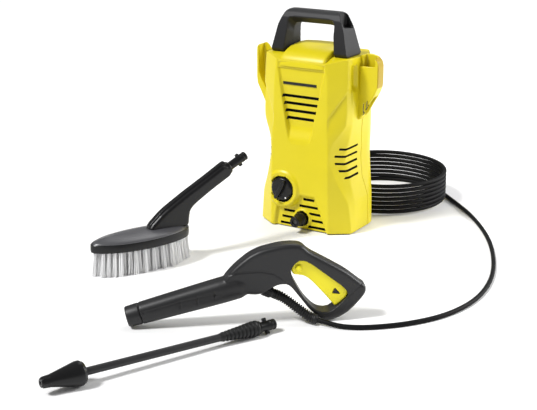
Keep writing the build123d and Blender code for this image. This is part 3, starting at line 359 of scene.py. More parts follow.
def prism(flat, outline, low, high):
    """(points, faces) of an outline extruded between two side distances."""
    turned = zip(outline, list(outline[1:]) + list(outline[:1]))
    if sum(a[0] * b[1] - b[0] * a[1] for a, b in turned) < 0:
        outline = list(reversed(outline))
    count = len(outline)
    local = [(p[0], p[1], low) for p in outline] + [(p[0], p[1], high) for p in outline]
    faces = [tuple(reversed(range(count))), tuple(range(count, 2 * count))]
    faces += [(i, (i + 1) % count, count + (i + 1) % count, count + i) for i in range(count)]
    return flat.points(local), faces


def revolved(origin, direction, profile, segments):
    """(points, faces) of an open (radius, height) profile turned about an axis; ends close."""
    axis = np.array(direction, float) / np.linalg.norm(direction)
    helper = np.array((0, 0, 1.0)) if abs(axis[2]) < 0.9 else np.array((1.0, 0, 0))
    x = np.cross(helper, axis)
    x /= np.linalg.norm(x)
    y = np.cross(axis, x)
    rows = []
    for radius, height in profile:
        radius = max(radius, 0.01)
        for step in range(segments):
            angle = 2 * pi * step / segments
            rows.append(np.array(origin) + axis * height
                        + radius * (cos(angle) * x + sin(angle) * y))
    return rows, tube_faces(len(profile), segments)


def add_bevel(obj, width_m, angle, segments):
    """Round an object's edges that are sharper than an angle."""
    bevel = obj.modifiers.new("soft_edges", "BEVEL")
    bevel.width = width_m
    bevel.segments = segments
    bevel.limit_method = "ANGLE"
    bevel.angle_limit = radians(angle)


def softened(shape, width, angle=30.0, segments=3):
    """A shape whose edges sharper than an angle are rounded by a bevel."""
    obj = scratch("softened", shape)
    add_bevel(obj, width * MM, angle, segments)
    return mesh_shape(applied(obj))


def swept(path, radii, segments):
    """A closed tube along a 3-D path with a radius at each of its points."""
    path = np.asarray(path, float)
    tangents = np.gradient(path, axis=0)
    tangents /= np.linalg.norm(tangents, axis=1, keepdims=True)
    side = np.cross(tangents[0], (0.0, 0.0, 1.0))
    points = []
    for place, tangent, radius in zip(path, tangents, radii):
        side = side - tangent * (side @ tangent)
        side /= np.linalg.norm(side)
        other = np.cross(tangent, side)
        for step in range(segments):
            angle = 2 * pi * step / segments
            points.append(place + radius * (cos(angle) * side + sin(angle) * other))
    return points, tube_faces(len(path), segments)


def eased(profile, setback):
    """Round the corners of an open profile."""
    points = [np.array(p, float) for p in profile]
    out = [points[0]]
    for before, here, after in zip(points, points[1:], points[2:]):
        out += bend(before, here, after, setback, 4)
    return out + [points[-1]]


def scratch(name, shape):
    """A temporary object from (points, faces), for modifiers to use."""
    return placed(name, mesh_from(name, *shape))


def applied(obj):
    """Apply an object's modifiers and return its mesh; the object is removed."""
    graph = bpy.context.evaluated_depsgraph_get()
    mesh = bpy.data.meshes.new_from_object(obj.evaluated_get(graph))
    bpy.data.objects.remove(obj)
    return mesh


def joined(name, shapes):
    """One scratch object from several (points, faces) shapes."""
    points, faces = [], []
    for shape_points, shape_faces in shapes:
        start = len(points)
        points += [tuple(p) for p in shape_points]
        faces += [tuple(i + start for i in face) for face in shape_faces]
    return scratch(name, (points, faces))


def outward(shape):
    """A closed shape with its faces turned to point outward."""
    points = np.array([tuple(p) for p in shape[0]], float)
    points -= points.mean(axis=0)
    volume = 0.0
    for face in shape[1]:
        first = points[face[0]]
        for b, c in zip(face[1:], face[2:]):
            volume += first @ np.cross(points[b], points[c])
    if volume < 0:
        return shape[0], [tuple(reversed(face)) for face in shape[1]]
    return shape


def add_boolean(obj, operation, other, solver="EXACT"):
    change = obj.modifiers.new(operation, "BOOLEAN")
    change.operation = operation
    change.solver = solver
    change.object = other


def remeshed(name, solids, cuts, voxel, smooth_steps, common=()):
    """Union of solids inside the common shapes, less the cuts, as one even softened mesh."""
    obj = scratch(name, outward(solids[0]))
    helpers = []
    for kind, shapes in (("UNION", solids[1:]), ("INTERSECT", common), ("DIFFERENCE", cuts)):
        for shape in shapes:
            helper = scratch(name + "_helper", outward(shape))
            helpers.append(helper)
            add_boolean(obj, kind, helper)
    remesh = obj.modifiers.new("even", "REMESH")
    remesh.mode = "VOXEL"
    remesh.voxel_size = voxel * MM
    soften = obj.modifiers.new("soften", "SMOOTH")
    soften.factor = 0.5
    soften.iterations = smooth_steps
    mesh = applied(obj)
    for helper in helpers:
        bpy.data.objects.remove(helper)
    return mesh


def read_vectors(items, key):
    """One property of every item, as rows of three numbers."""
    values = np.empty(len(items) * 3)
    items.foreach_get(key, values)
    return values.reshape(-1, 3)


def mesh_points(mesh):
    """A mesh's points in millimetres."""
    return read_vectors(mesh.vertices, "co") / MM


def mesh_shape(mesh):
    """A mesh as (points, faces)."""
    return mesh_points(mesh), [tuple(face.vertices) for face in mesh.polygons]


def set_points(mesh, points):
    mesh.vertices.foreach_set("co", (points * MM).ravel())
    mesh.update()


def distance_to_path(points, path):
    """Distance of 2-D points to a broken line."""
    best = np.full(len(points), 1e9)
    for a, b in zip(path, path[1:]):
        a, b = np.array(a, float), np.array(b, float)
        along = b - a
        share = np.clip(((points - a) @ along) / (along @ along), 0, 1)
        best = np.minimum(best, np.linalg.norm(points - a - share[:, None] * along, axis=1))
    return best


def path_lengths(path):
    """How far along a path each of its points lies."""
    return np.concatenate([[0], np.cumsum(np.linalg.norm(np.diff(path, axis=0), axis=1))])


def spaced(path, lengths, places):
    """Points of a path at given distances along it."""
    return np.stack([np.interp(places, lengths, values) for values in path.T], axis=1)


def carve(mesh, flat, path, width, depth):
    """Press a groove along a line drawn on a plane."""
    points, normals = mesh_points(mesh), read_vectors(mesh.vertex_normals, "vector")
    local = flat.local(points)
    near = distance_to_path(local[:, :2], path)
    press = depth * np.exp(-(near / (0.5 * width)) ** 2)
    press *= np.abs(normals @ flat.side) > 0.35
    set_points(mesh, points - normals * press[:, None])


def paint(mesh, chosen, index):
    """Give the faces whose centre passes a test a material index."""
    found = chosen(read_vectors(mesh.polygons, "center") / MM)
    indices = np.zeros(len(mesh.polygons), int)
    mesh.polygons.foreach_get("material_index", indices)
    indices[found] = index
    mesh.polygons.foreach_set("material_index", indices)
    mesh.update()


# ---------------------------------------------------------------------------
# Casing: one skin worked out from its outline at each height
# ---------------------------------------------------------------------------

CASING_LEVELS = [
    # height, then the right half of the outline: the front flat's corner, the chamfer's end,
    # the side's two ends and the rear corner
    (2, [(67, -73.5), (106, -45.5), (107, -30), (107, 47), (80, 80)]),
    (66, [(66, -75), (99, -50.5), (104, -30), (105, 47), (80, 80)]),
    (115, [(65.5, -75.5), (78, -66), (95, -36), (101, 46), (79, 79)]),
    (152, [(65, -75.5), (66, -74), (87, -43), (99, 44), (79, 78)]),
    (190, [(64, -75), (72, -69), (92, -38), (100, 44), (79, 78)]),
    (226, [(62, -74.5), (93, -55), (98, -36), (100, 44), (79, 78)]),
    (300, [(60, -73), (95, -53), (98, -36), (100, 40), (78, 77)]),
    (357, [(57, -70), (93, -50), (97, -36), (98, 34), (75, 75)]),
]
CORNER_SETBACK = [2.4, 2.4, 4.0, 16.0, 10.0]
CORNER_STEPS = 6
RUN_STEPS = (3, 22, 8, 22, 16, 10, 40)
GROOVE_STEP = 0.6
PARTING = [(24, 0), (25, 66), (9, 112), (11, 168), (5, 205), (4, 360)]
UPPER_SLOTS = [(276, -42, 38), (261, -39, 34), (246, -36, 31), (231, -33, 26)]
LOWER_SLOTS = [
    (66, 7, 32), (51, -2, 40), (37, 14, 48), (36.5, -38, -7), (23, 27, 55), (22.5, -43, -17),
    (9, 14, 61), (8.5, -47, -23),
]
SIDE_SLOTS = [(175.5, -54), (160.5, -61), (145.5, -62), (131, -55), (117, -45)]
SIDE_SLOT_REAR_Y = -5.0
UPPER_SLOT_HALF, LOWER_SLOT_HALF, SIDE_SLOT_HALF = 2.6, 2.3, 2.0
SLOT_DEPTH = 9.0
DIAL_CENTRE = (-39.0, 83.0)
INLET_CENTRE = (5.0, 25.0)
PANEL = [(-55, 352), (54, 352), (54, 335), (25, 189), (15, 180), (-19, 180), (-28, 189), (-55, 334)]
SKIRT = [(-54, 45), (-63, -8), (69, -8), (36, 76), (2, 76)]
REAR_PANEL = [(-56, 338), (56, 338), (56, 128), (-56, 128)]
REAR_RIB_HEIGHTS, REAR_RIB_HALF = (296, 284, 272, 260, 248), 46.0
DIAL_WELL_RADIUS, INLET_WELL_RADIUS, INLET_CLEAR_RADIUS = 26.4, 14.6, 22.0
GRID_LINE_OFFSET = 0.35
CASING_FOOT_Z, SHOULDER_Z = 2.0, 357.0


def half_outline(z):
    """The right half of the casing's outline at a height, smooth between its levels."""
    heights = [level for level, _ in CASING_LEVELS]
    corners = np.array([half for _, half in CASING_LEVELS], float)
    z = min(max(z, heights[0]), heights[-1])
    index = min(max(np.searchsorted(heights, z) - 1, 0), len(heights) - 2)
    low, high = heights[index], heights[index + 1]
    before, after = max(index - 1, 0), min(index + 2, len(heights) - 1)
    share = (z - low) / (high - low)
    span = high - low
    slope_low = (corners[index + 1] - corners[before]) / (high - heights[before]) * span
    slope_high = (corners[after] - corners[index]) / (heights[after] - low) * span
    a, b = corners[index], corners[index + 1]
    smooth = (
        (2 * share**3 - 3 * share**2 + 1) * a + (share**3 - 2 * share**2 + share) * slope_low
        + (3 * share**2 - 2 * share**3) * b + (share**3 - share**2) * slope_high
    )
    # Halfway between straight and smooth keeps the facets crisp but their edges flowing
    straight = a + (b - a) * share
    return 0.5 * straight + 0.5 * smooth


def parting_y(z):
    """Where the parting line between the shells crosses the side at a height."""
    ys, zs = zip(*PARTING)
    return float(np.interp(z, zs, ys))


def bend(before, corner, after, setback, steps):
    """Points of a rounded corner."""
    before, corner, after = (np.array(p, float) for p in (before, corner, after))
    into, out = before - corner, after - corner
    into *= min(setback, 0.42 * np.linalg.norm(into)) / np.linalg.norm(into)
    out *= min(setback, 0.42 * np.linalg.norm(out)) / np.linalg.norm(out)
    return [
        corner + into * (1 - t) ** 2 + out * t**2 for t in np.linspace(0, 1, steps)
    ]


def run(start, end, steps):
    """Points strictly between two ends."""
    start, end = np.array(start, float), np.array(end, float)
    return [start + (end - start) * t for t in np.linspace(0, 1, steps + 2)[1:-1]]


def feature_lines(edges, low, high, spacing):
    """Grid positions: two lines at each feature edge, and even lines between them."""
    lines = {low, high}
    for edge in edges:
        lines.update((edge - GRID_LINE_OFFSET, edge + GRID_LINE_OFFSET))
    ordered = sorted(v for v in lines if low <= v <= high)
    kept = [ordered[0]]
    for value in ordered[1:]:
        gap = value - kept[-1]
        if gap < 0.3:
            continue
        count = int(gap // spacing)
        kept += [kept[-1] + gap * k / (count + 1) for k in range(1, count + 1)]
        kept.append(value)
    return np.array(kept)


FRONT_HALF = 56.0


def front_columns():
    edges = [x for _, left, right in UPPER_SLOTS + LOWER_SLOTS for x in (left, right)]
    return feature_lines(edges, -FRONT_HALF, FRONT_HALF, 1.7)


def height_rows():
    halves = [(UPPER_SLOTS, UPPER_SLOT_HALF), (LOWER_SLOTS, LOWER_SLOT_HALF),
              (SIDE_SLOTS, SIDE_SLOT_HALF)]
    edges = [row[0] + s * half for slots, half in halves for row in slots for s in (-1, 1)]
    edges += [333.5, 335.5]
    return feature_lines(edges, CASING_FOOT_Z, SHOULDER_Z, 2.2)


def right_half(z):
    """Points from the front's last fixed column round to the middle of the back."""
    a, b, c, d, e = half_outline(z)
    front_y = a[1]
    corners = [bend(p, q, r, s, CORNER_STEPS) for p, q, r, s in zip(
        [(FRONT_HALF - 20, front_y), a, b, c, d], [a, b, c, d, e], [b, c, d, e, (0, e[1])],
        CORNER_SETBACK,
    )]
    line_y = parting_y(z)
    share = (line_y - c[1]) / (d[1] - c[1])
    parting = c + (d - c) * share
    groove = [parting + np.array((0.0, GROOVE_STEP)) * k for k in (-2, -1, 0, 1, 2)]
    stops = [[(FRONT_HALF, front_y)], *corners[:3], groove, *corners[3:], [(0, e[1])]]
    points = []
    for here, after, steps in zip(stops, stops[1:], RUN_STEPS):
        points += run(here[-1], after[0], steps) + after
    return points[:-1]


# Columns counted from the front's last fixed one: three corners lie before the parting groove
PARTING_COLUMN = sum(RUN_STEPS[:4]) + 3 * CORNER_STEPS + 2
SIDE_COLUMNS = range(RUN_STEPS[0] + CORNER_STEPS, PARTING_COLUMN)


def smoothstep(value, low, high):
    share = np.clip((value - low) / (high - low), 0, 1)
    return share * share * (3 - 2 * share)


def inside(points, outline):
    """Which 2-D points lie inside a closed outline."""
    result = np.zeros(len(points), bool)
    x, y = points[:, 0], points[:, 1]
    for (x1, y1), (x2, y2) in zip(outline, outline[1:] + outline[:1]):
        crosses = (y1 > y) != (y2 > y)
        at = (x2 - x1) * (y - y1) / (y2 - y1 if y2 != y1 else 1e-9) + x1
        result ^= crosses & (x < at)
    return result


def sunk(points, outline, ramp):
    """0 at a closed outline's edge rising to 1 a ramp's width inside it."""
    depth = distance_to_path(points, outline + outline[:1])
    return np.where(inside(points, outline), smoothstep(depth, 0, ramp), 0)


def front_relief(x, z):
    """Height of the front's features above the plain face, at (x, z)."""
    spot = np.stack([x, z], axis=1)
    # Panel between the rails: sunk, and fading out at its foot
    wall = sunk(spot, PANEL, 4.5)
    depth = 11.0 * smoothstep(z, 181, 218) - 6.0 * smoothstep(z, 236, 330)
    relief = -wall * np.maximum(depth, 0.8)
    # Hood's front stands a little prouder than the panel
    relief += wall * 2.6 * smoothstep(z, 333.5, 335.5)
    # Skirt round the inlet
    from_dial = np.hypot(x - DIAL_CENTRE[0], z - DIAL_CENTRE[1])
    relief -= 6.0 * sunk(spot, SKIRT, 4.5) * smoothstep(from_dial, 38.5, 43)
    # Bezel of the dial, with its well
    bezel = 1 - smoothstep(from_dial, 33.5, 41)
    relief += 4.6 * bezel
    relief -= 1.2 * np.exp(-((from_dial - 29.5) / 1.6) ** 2)
    relief -= 16.0 * (1 - smoothstep(from_dial, 25.6, 27.2))
    # Collar round the inlet nipple
    from_inlet = np.hypot(x - INLET_CENTRE[0], z - INLET_CENTRE[1])
    relief += 3.4 * (1 - smoothstep(from_inlet, 18.0, 21.0))
    relief -= 12.0 * (1 - smoothstep(from_inlet, 14.3, 15.3))
    return relief


def rear_relief(x, z):
    """Height of the rear shell's sunk panel and the plain ribs across its upper part."""
    relief = -2.4 * sunk(np.stack([x, z], axis=1), REAR_PANEL, 5.0)
    length = 1 - smoothstep(np.abs(x), REAR_RIB_HALF - 4, REAR_RIB_HALF)
    for height in REAR_RIB_HEIGHTS:
        relief += 2.0 * (1 - smoothstep(np.abs(z - height), 1.2, 3.4)) * length
    return relief


def slot_relief(x, z):
    """Depth of the front's bar-shaped slots."""
    cut = np.zeros(len(x))
    for slots, half in ((UPPER_SLOTS, UPPER_SLOT_HALF), (LOWER_SLOTS, LOWER_SLOT_HALF)):
        for height, left, right in slots:
            deep = (np.abs(z - height) < half) & (x > left) & (x < right)
            cut = np.where(deep, SLOT_DEPTH, cut)
    return cut


def shoulder_drop(points):
    """The shoulder rolls down towards the front edge of the top."""
    rise = np.clip((points[:, 2] - 325) / (SHOULDER_Z - 325), 0, 1)
    lean = np.clip((-46 - points[:, 1]) / 30, 0, 1)
    points[:, 2] -= 13 * rise * lean**1.6
    return points


def casing_grid():
    """Rows of points round the casing from the floor to the shoulder, and its top."""
    columns = front_columns()
    levels = height_rows()
    rows = []
    for z in levels:
        right = right_half(z)
        front_y = half_outline(z)[0][1]
        left = [np.array((-p[0], p[1])) for p in reversed(right)]
        ring = [np.array((x, front_y)) for x in columns] + right
        ring += [np.array((0.0, right[-1][1]))] + left
        rows.append(np.column_stack([np.array(ring), np.full(len(ring), z)]))
    # Round the foot inward
    rows[0][:, :2] *= 0.985
    return np.array(rows), len(columns)


def casing_normals(grid):
    """Outward directions of the plain casing, level with the floor."""
    around = np.roll(grid, -1, axis=1) - np.roll(grid, 1, axis=1)
    normal = np.stack([around[..., 1], -around[..., 0], np.zeros(grid.shape[:2])], axis=-1)
    return normal / np.linalg.norm(normal, axis=-1, keepdims=True)


def closed_over(skin, columns):
    """The casing's rows, then rings that roll over its edge and close across its top."""
    middle = np.array((0.0, 5.0))
    rings = [skin]
    for inward, rise in ((0.6, 1.6), (1.8, 2.7), (3.6, 3.2)):
        ring = skin[-columns:].copy()
        away = ring[:, :2] - middle
        away /= np.linalg.norm(away, axis=1, keepdims=True)
        ring[:, :2] -= away * inward
        ring[:, 2] += rise - 3.2
        rings.append(ring)
    rolled = rings[-1]
    for scale in (0.8, 0.55, 0.3, 0.1):
        ring = rolled.copy()
        ring[:, :2] = middle + (ring[:, :2] - middle) * scale
        ring[:, 2] = np.minimum(ring[:, 2] + (1 - scale) * 14, SHOULDER_Z)
        rings.append(ring)
    return np.vstack(rings)


def make_casing():
    """Front and rear shells, split at the parting line."""
    grid, front_count = casing_grid()
    normals = casing_normals(grid)
    rows, columns = grid.shape[:2]
    flat_points = grid.reshape(-1, 3)
    x, y, z = flat_points.T
    relief = np.zeros(len(flat_points))
    column = np.tile(np.arange(columns), rows)
    on_front = (column < front_count + 4) | (column >= columns - 4)
    relief[on_front] += front_relief(x[on_front], z[on_front])
    on_rear = y > 70
    relief[on_rear] += rear_relief(x[on_rear], z[on_rear])
    depth = np.zeros(len(flat_points))
    fixed = column < front_count
    depth[fixed] = slot_relief(x[fixed], z[fixed])
    from_dial = np.hypot(x - DIAL_CENTRE[0], z - DIAL_CENTRE[1])
    from_inlet = np.hypot(x - INLET_CENTRE[0], z - INLET_CENTRE[1])
    depth[(from_inlet < INLET_CLEAR_RADIUS) & fixed] = 0

    # Bent slots in both sides, between their front ends and the parting line
    first = front_count
    last = columns - 1
    side = np.zeros(len(flat_points), bool)
    for offset in SIDE_COLUMNS:
        side |= (column == first + offset) | (column == last - offset)
    for height, front_y in SIDE_SLOTS:
        start_y = np.where(x < 0, front_y - 9.0, front_y)
        bar = side & (np.abs(z - height) < SIDE_SLOT_HALF) & (y > start_y) & (y < SIDE_SLOT_REAR_Y)
        depth[bar] = SLOT_DEPTH

    # Parting groove
    for place, press in ((-1, 1.4), (0, 3.2), (1, 1.4)):
        for groove in (first + PARTING_COLUMN + place, last - PARTING_COLUMN - place):
            relief[column == groove] -= press
    # Slanting fold in each upper side facet: the part below it lies a little deeper
    wide = np.abs(x)
    fold_z = 241 + (wide - 63) * (300 - 241) / (98 - 63)
    chamfer = smoothstep(wide, 60, 66) * (y < -38) * smoothstep(z, 196, 222)
    below = smoothstep(fold_z - z, 0, 2.2) * (1 - smoothstep(fold_z - z, 4, 60))
    relief -= 2.2 * chamfer * below
    # Upright channels beside the holders
    channel = np.exp(-((y + 29) / 9.5) ** 4) * smoothstep(z, 289, 303) * (wide > 88)
    relief -= 6.5 * channel * (1 - smoothstep(z, 341, 345))

    # The side slots dip at the corner they bend round
    dip = 3.0 * np.clip((-44 - y) / 18, 0, 1) + 2.6 * np.clip((y + 44) / 38, 0, 1)
    window = smoothstep(z, 100, 116) * (1 - smoothstep(z, 177, 196))
    moved = flat_points + normals.reshape(-1, 3) * (relief - depth)[:, None]
    moved[:, 2] += np.where(side, dip * window, 0)
    points = closed_over(shoulder_drop(moved), columns)
    points[:columns, 2] = CASING_FOOT_Z
    faces = np.array(grid_faces(len(points) // columns, columns))

    centres = points[faces].mean(axis=1)
    lines = np.interp(centres[:, 2], [p[1] for p in PARTING], [p[0] for p in PARTING])
    is_front = centres[:, 1] < lines
    # Painted shade: the slots, the dial well and the inlet well get near-black slot_dark
    deep = (depth > 0) | (from_dial < DIAL_WELL_RADIUS) & fixed
    deep |= (from_inlet < INLET_WELL_RADIUS) & fixed
    dark = np.concatenate([deep, np.zeros(len(points) - len(deep), bool)])
    for name, wanted, replaced in (
        ("casing_front", is_front, "front_shell"), ("casing_rear", ~is_front, "rear_shell"),
    ):
        chosen = faces[wanted]
        used, compact = np.unique(chosen, return_inverse=True)
        mesh = mesh_from(name, points[used], compact.reshape(-1, 4))
        piece(name, mesh, "machine", ["yellow_shell", "slot_dark"], [replaced], 55)
        mesh.polygons.foreach_set("material_index", dark[chosen].any(axis=1).astype(int))


def make_hood():
    """The crowned hood between the handle's legs."""
    profile = [
        (-71.5, 336), (-71.0, 343), (-68.5, 350), (-63, 357), (-54, 362.5), (-42, 367.5),
        (-28, 371.5), (-12, 374), (10, 375), (30, 374), (48, 371), (60, 364), (66, 350),
    ]
    half = 51.0
    widths = [0, 0.3, 0.6, 0.8, 0.9, 0.945, 0.975, 0.993, 1.0, 1.0]
    drops = [0, 0.1, 0.5, 1.0, 1.5, 2.0, 3.2, 5.0, 8.0, 14.0]
    columns = [(-w, d) for w, d in zip(reversed(widths[1:]), reversed(drops[1:]))]
    columns += list(zip(widths, drops))
    points = []
    for index, (y, z) in enumerate(profile):
        before, after = profile[max(index - 1, 0)], profile[min(index + 1, len(profile) - 1)]
        tangent = np.array(after) - np.array(before)
        inward = np.array((tangent[1], -tangent[0])) / np.linalg.norm(tangent)
        for share, drop in columns:
            points.append((share * half, y + inward[0] * drop, z + inward[1] * drop))
    faces = [tuple(reversed(f)) for f in grid_faces(len(profile), len(columns), wrap=False)]
    piece("casing_hood", mesh_from("casing_hood", points, faces), "machine", ["yellow_shell"],
          (), 60)


# ---------------------------------------------------------------------------
# Casing details: holders, handle, dial, inlet and bar mark
# ---------------------------------------------------------------------------

HOLDER_HALF_DEPTH = 13.0
RIGHT_HOLDER = [
    (90, 356), (100, 361), (114, 363), (130, 359), (138, 350), (140, 340), (140, 302),
    (133, 284), (120, 262), (108, 240), (90, 222),
]
LEFT_HOLDER = [
    (90, 346), (116, 348), (122, 358), (128, 363), (134, 363), (140, 356), (140, 284),
    (129, 263), (118, 240), (104, 216), (90, 202),
]
LEFT_POCKET = [(-104, 370), (-134, 370), (-134, 304), (-127, 288), (-112, 264), (-104, 264)]


def box(low, high):
    """(points, faces) of a box between two corners."""
    outline = [(low[0], low[2]), (high[0], low[2]), (high[0], high[2]), (low[0], high[2])]
    return prism(FRONT, outline, -high[1], -low[1])


def make_holders():
    """Moulded accessory holders that stand out from both flanks."""
    block = prism(FRONT, rounded(RIGHT_HOLDER, 1, 0.15), -HOLDER_HALF_DEPTH, HOLDER_HALF_DEPTH)
    groove = revolved((96, -16, 290), (0, 0, 1), [(0, -5), (4, -3.6), (5.6, 0), (6, 80)], 24)
    slits = [softened(prism(FRONT, outline, 4, 20), 0.6) for outline in (
        [(109, 245), (113.5, 250), (113.5, 271), (109, 264)],
        [(116, 256), (119.6, 260), (119.6, 275), (116, 270)],
    )]
    right = remeshed("right_holder", [softened(block, 1.6)], [
        box((80, -23, 340), (132, -3, 380)), box((104, -8, 200), (130, 8, 400)), groove, *slits,
    ], 1.3, 3)
    # Painted shade: the inside of the holder's shaft and its two slits get near-black slot_dark
    paint(right, lambda c: (np.abs(c[:, 1]) < 7) & (c[:, 0] > 104.6) & (c[:, 0] < 129.4)
          & (c[:, 2] < 334), 1)
    paint(right, lambda c: (c[:, 1] > -12.4) & (c[:, 1] < -5) & (c[:, 0] > 108)
          & (c[:, 0] < 120.6) & (c[:, 2] < 276), 1)
    # Painted shade: rim faces beyond the holder's shaft get the darker amber shade material (slot 2)
    paint(right, lambda c: (c[:, 0] > 138.6) | (c[:, 0] > 129.6) & (c[:, 2] > 300)
          & (np.abs(c[:, 1]) < 12.0), 2)
    piece("right_holder", right, "machine", ["yellow_shell", "slot_dark", "yellow_painted_shade"],
          ["right_accessory_holder"], 60)
    outline = [(-x, z) for x, z in LEFT_HOLDER]
    block = prism(FRONT, rounded(outline, 1, 0.15), -HOLDER_HALF_DEPTH, HOLDER_HALF_DEPTH)
    left = remeshed("left_holder", [softened(block, 1.6)],
                    [prism(FRONT, LEFT_POCKET, -9, 30)], 1.3, 3)
    piece("left_holder", left, "machine", ["yellow_shell"], ["left_accessory_holder"], 60)


HANDLE_FRONT = [(-88, 352), (-74, 412), (-62, 438), (-56, 443), (56, 443), (62, 438), (74, 412),
                (88, 352)]
HANDLE_SIDE = [(-45.5, 352), (-36, 425), (-28, 438), (-18, 443), (-4, 443), (5, 436), (9, 415),
               (20.5, 352)]
HANDLE_GAP = [(-55, 340), (-48, 406), (-43, 416), (43, 416), (48, 406), (55, 340)]
HANDLE_END = [(-31, 415), (-32.5, 426), (-26, 436), (-18, 440.5), (-4, 440.5), (3, 436), (6.8, 410)]


def handle_mouth():
    """A cutter that opens the handle's gap out towards the front."""
    points = []
    for y, top_wide, foot_wide, rise in ((-60, 12, 8, 32), (-16, 0, 0, 0)):
        points += [(x + np.sign(x) * (top_wide if z > 400 else foot_wide), y,
                    z + (rise if z > 400 else 0)) for x, z in rounded(HANDLE_GAP, 1, 0.12)]
    return points, tube_faces(2, len(points) // 2)


def make_handle():
    """Grip bar on two hollow legs, with an open end on the right."""
    front = softened(prism(FRONT, rounded(HANDLE_FRONT, 1, 0.10), -70, 70), 2.5)
    side = softened(prism(SIDE, rounded(HANDLE_SIDE, 1, 0.16), -110, 110), 2.5)
    ends = [prism(SIDE, rounded(HANDLE_END, 1, 0.1), low, high) for low, high in
            ((57, 100), (-100, -57))]
    mesh = remeshed("handle", [front], [
        prism(FRONT, rounded(HANDLE_GAP, 1, 0.12), -80, 80), handle_mouth(), *ends,
    ], 1.2, 3, common=[side])
    # Painted shade: the inside of the handle's open end gets near-black slot_dark
    grown = [(1.06 * (y + 13) - 13, 1.06 * (z - 425) + 425) for y, z in HANDLE_END]
    paint(mesh, lambda c: (np.abs(c[:, 0]) < 60.5 + (438 - c[:, 2]) * 0.46)
          & (np.abs(c[:, 0]) > 56.2) & inside(c[:, 1:3], grown), 1)
    piece("handle", mesh, "machine", ["dark_handle", "slot_dark"], ["carry_handle"], 50)


def round_piece(name, origin, direction, profile, body, slot, replaces, setback, segments=72,
                extras=()):
    """A turned piece with eased edges, and any extra shapes joined to it."""
    shape = revolved(origin, direction, eased(profile, setback), segments)
    mesh = applied(joined(name, [shape, *extras]))
    piece(name, mesh, body, [slot], replaces, 35)


def make_dial():
    """Switch dial with its raised grip bar and a white dot."""
    x, z = DIAL_CENTRE
    tilt = radians(62)
    flat = Flat((x, -82, z), (cos(tilt), 0, sin(tilt)), (-sin(tilt), 0, cos(tilt)))
    bar = [(-22.5, -4.5), (22.5, -4.5), (22.5, 4.5), (-22.5, 4.5)]
    grip = softened(prism(flat, rounded(bar, 2, 0.25), -2, 8), 1.2)
    knurls = [revolved(spot, (0, -1, 0), [(0, 0), (0.8, 0), (0.8, 7), (0, 7.4)], 8)
              for spot, _ in round_places(np.array((x, -72, z)), (0, -1, 0), 24.2, 24)]
    profile = [(0.01, 1), (24.6, 1), (24.6, 9), (21.5, 13), (19, 13.2), (0.01, 12.4)]
    round_piece("dial", (x, -69, z), (0, -1, 0), profile, "switch_dial", "black_plastic",
                ["switch_dial"], 1.4, 96, [grip, *knurls])
    dot = revolved((x + 11, -81.2, z - 17), (0, -1, 0), [(0.01, 0), (2.0, 0), (1.8, 1.0), (0.01, 1.2)],
                   24)
    piece("dial_dot", mesh_from("dial_dot", *dot), "switch_dial", ["white_mark"])


def make_inlet():
    """Water inlet nipple with its flange and mouth."""
    profile = [(9, 60), (9, 77), (14, 77), (14, 82), (12.6, 84), (12.2, 86), (11, 88), (11, 93),
               (10.3, 93.6), (10.3, 95.4), (11, 96), (11, 101), (10.2, 102), (6, 102), (5, 101),
               (5, 80)]
    round_piece("inlet_nipple", (INLET_CENTRE[0], 0, INLET_CENTRE[1]), (0, -1, 0), profile,
                "machine", "black_plastic", ["water_inlet_nipple"], 0.5)


def make_bar_mark():
    """A plain dark bar printed across the panel."""
    outline = [(-43, 298.6), (33, 298.6), (33, 304.2), (-43, 304.2)]
    shape = softened(prism(FRONT, outline, 65.9, 67.7), 0.3)
    piece("bar_mark", mesh_from("bar_mark", *shape), "machine", ["slot_dark"])


# ---------------------------------------------------------------------------
# Trigger gun
# ---------------------------------------------------------------------------

GUN_HALF, CHANNEL_HALF, TRIGGER_HALF = 16.0, 10.7, 9.8
BARREL_TILT = radians(14.5)
GUN_BODY = [
    (158, 60), (160, 80), (169, 91.5), (181, 104), (202, 121), (221, 130), (253, 137), (273, 138),
    (289, 136), (302, 123), (332, 106), (365, 86), (389, 66), (397, 61), (398, 50), (392, 40),
    (378, 24), (366, 13), (352, 5), (338, 1), (325, 1), (303, 21), (289, 40), (268, 68),
    (250, 68), (236, 60), (221, 52), (205, 52),
]
FINGER_HOLE = [
    (270, 96), (273, 81), (281, 65), (294, 42), (306, 28), (316, 20), (327, 17), (338, 18),
    (352, 29), (364, 41), (367, 49), (359.5, 60), (330, 83.2), (307, 101.5), (295, 109), (283, 110),
]
TRIGGER_CHANNEL = [
    (262, 90), (264, 112), (278, 120), (302, 116), (340, 96), (369, 77.5), (381, 66), (377, 50),
    (364, 38), (330, 57), (290, 80),
]
TRIGGER_OUTLINE = [
    (271.5, 91), (273.5, 101), (278, 110.5), (286, 111.5), (296, 109.5), (309, 103), (332, 86),
    (361.5, 62.5), (368.5, 50), (364.5, 40.5), (356, 33), (346, 25), (341, 31), (328, 47),
    (305, 73), (294, 81), (285, 83), (276, 84),
]
TRIGGER_PIVOT = (284, 96)
GUN_GROOVES = [
    # path, width, depth: barrel seam, latch and its three ends, body seam, heel, muzzle ring, dimples
    ([(27, 31), (91, 48), (145, 58)], 2.2, 0.9),
    ([(88, 43), (116, 50), (145, 56)], 14.0, 0.9),
    ([(88, 36), (88, 50)], 1.8, 1.0),
    ([(116, 43), (116, 57)], 1.8, 1.0),
    ([(145, 50), (145, 63)], 1.8, 0.8),
    ([(155, 86), (175, 91), (194, 93.5), (222, 94), (243, 89), (258, 78), (265, 66)], 2.4, 1.0),
    ([(389, 65), (366, 42)], 1.8, 0.8),
    ([(22, 5), (30, 34)], 1.6, 0.5),
    ([(22, 21), (22.4, 21)], 4.0, 2.0),
    ([(145, 56), (145.4, 56)], 4.0, 2.0),
]


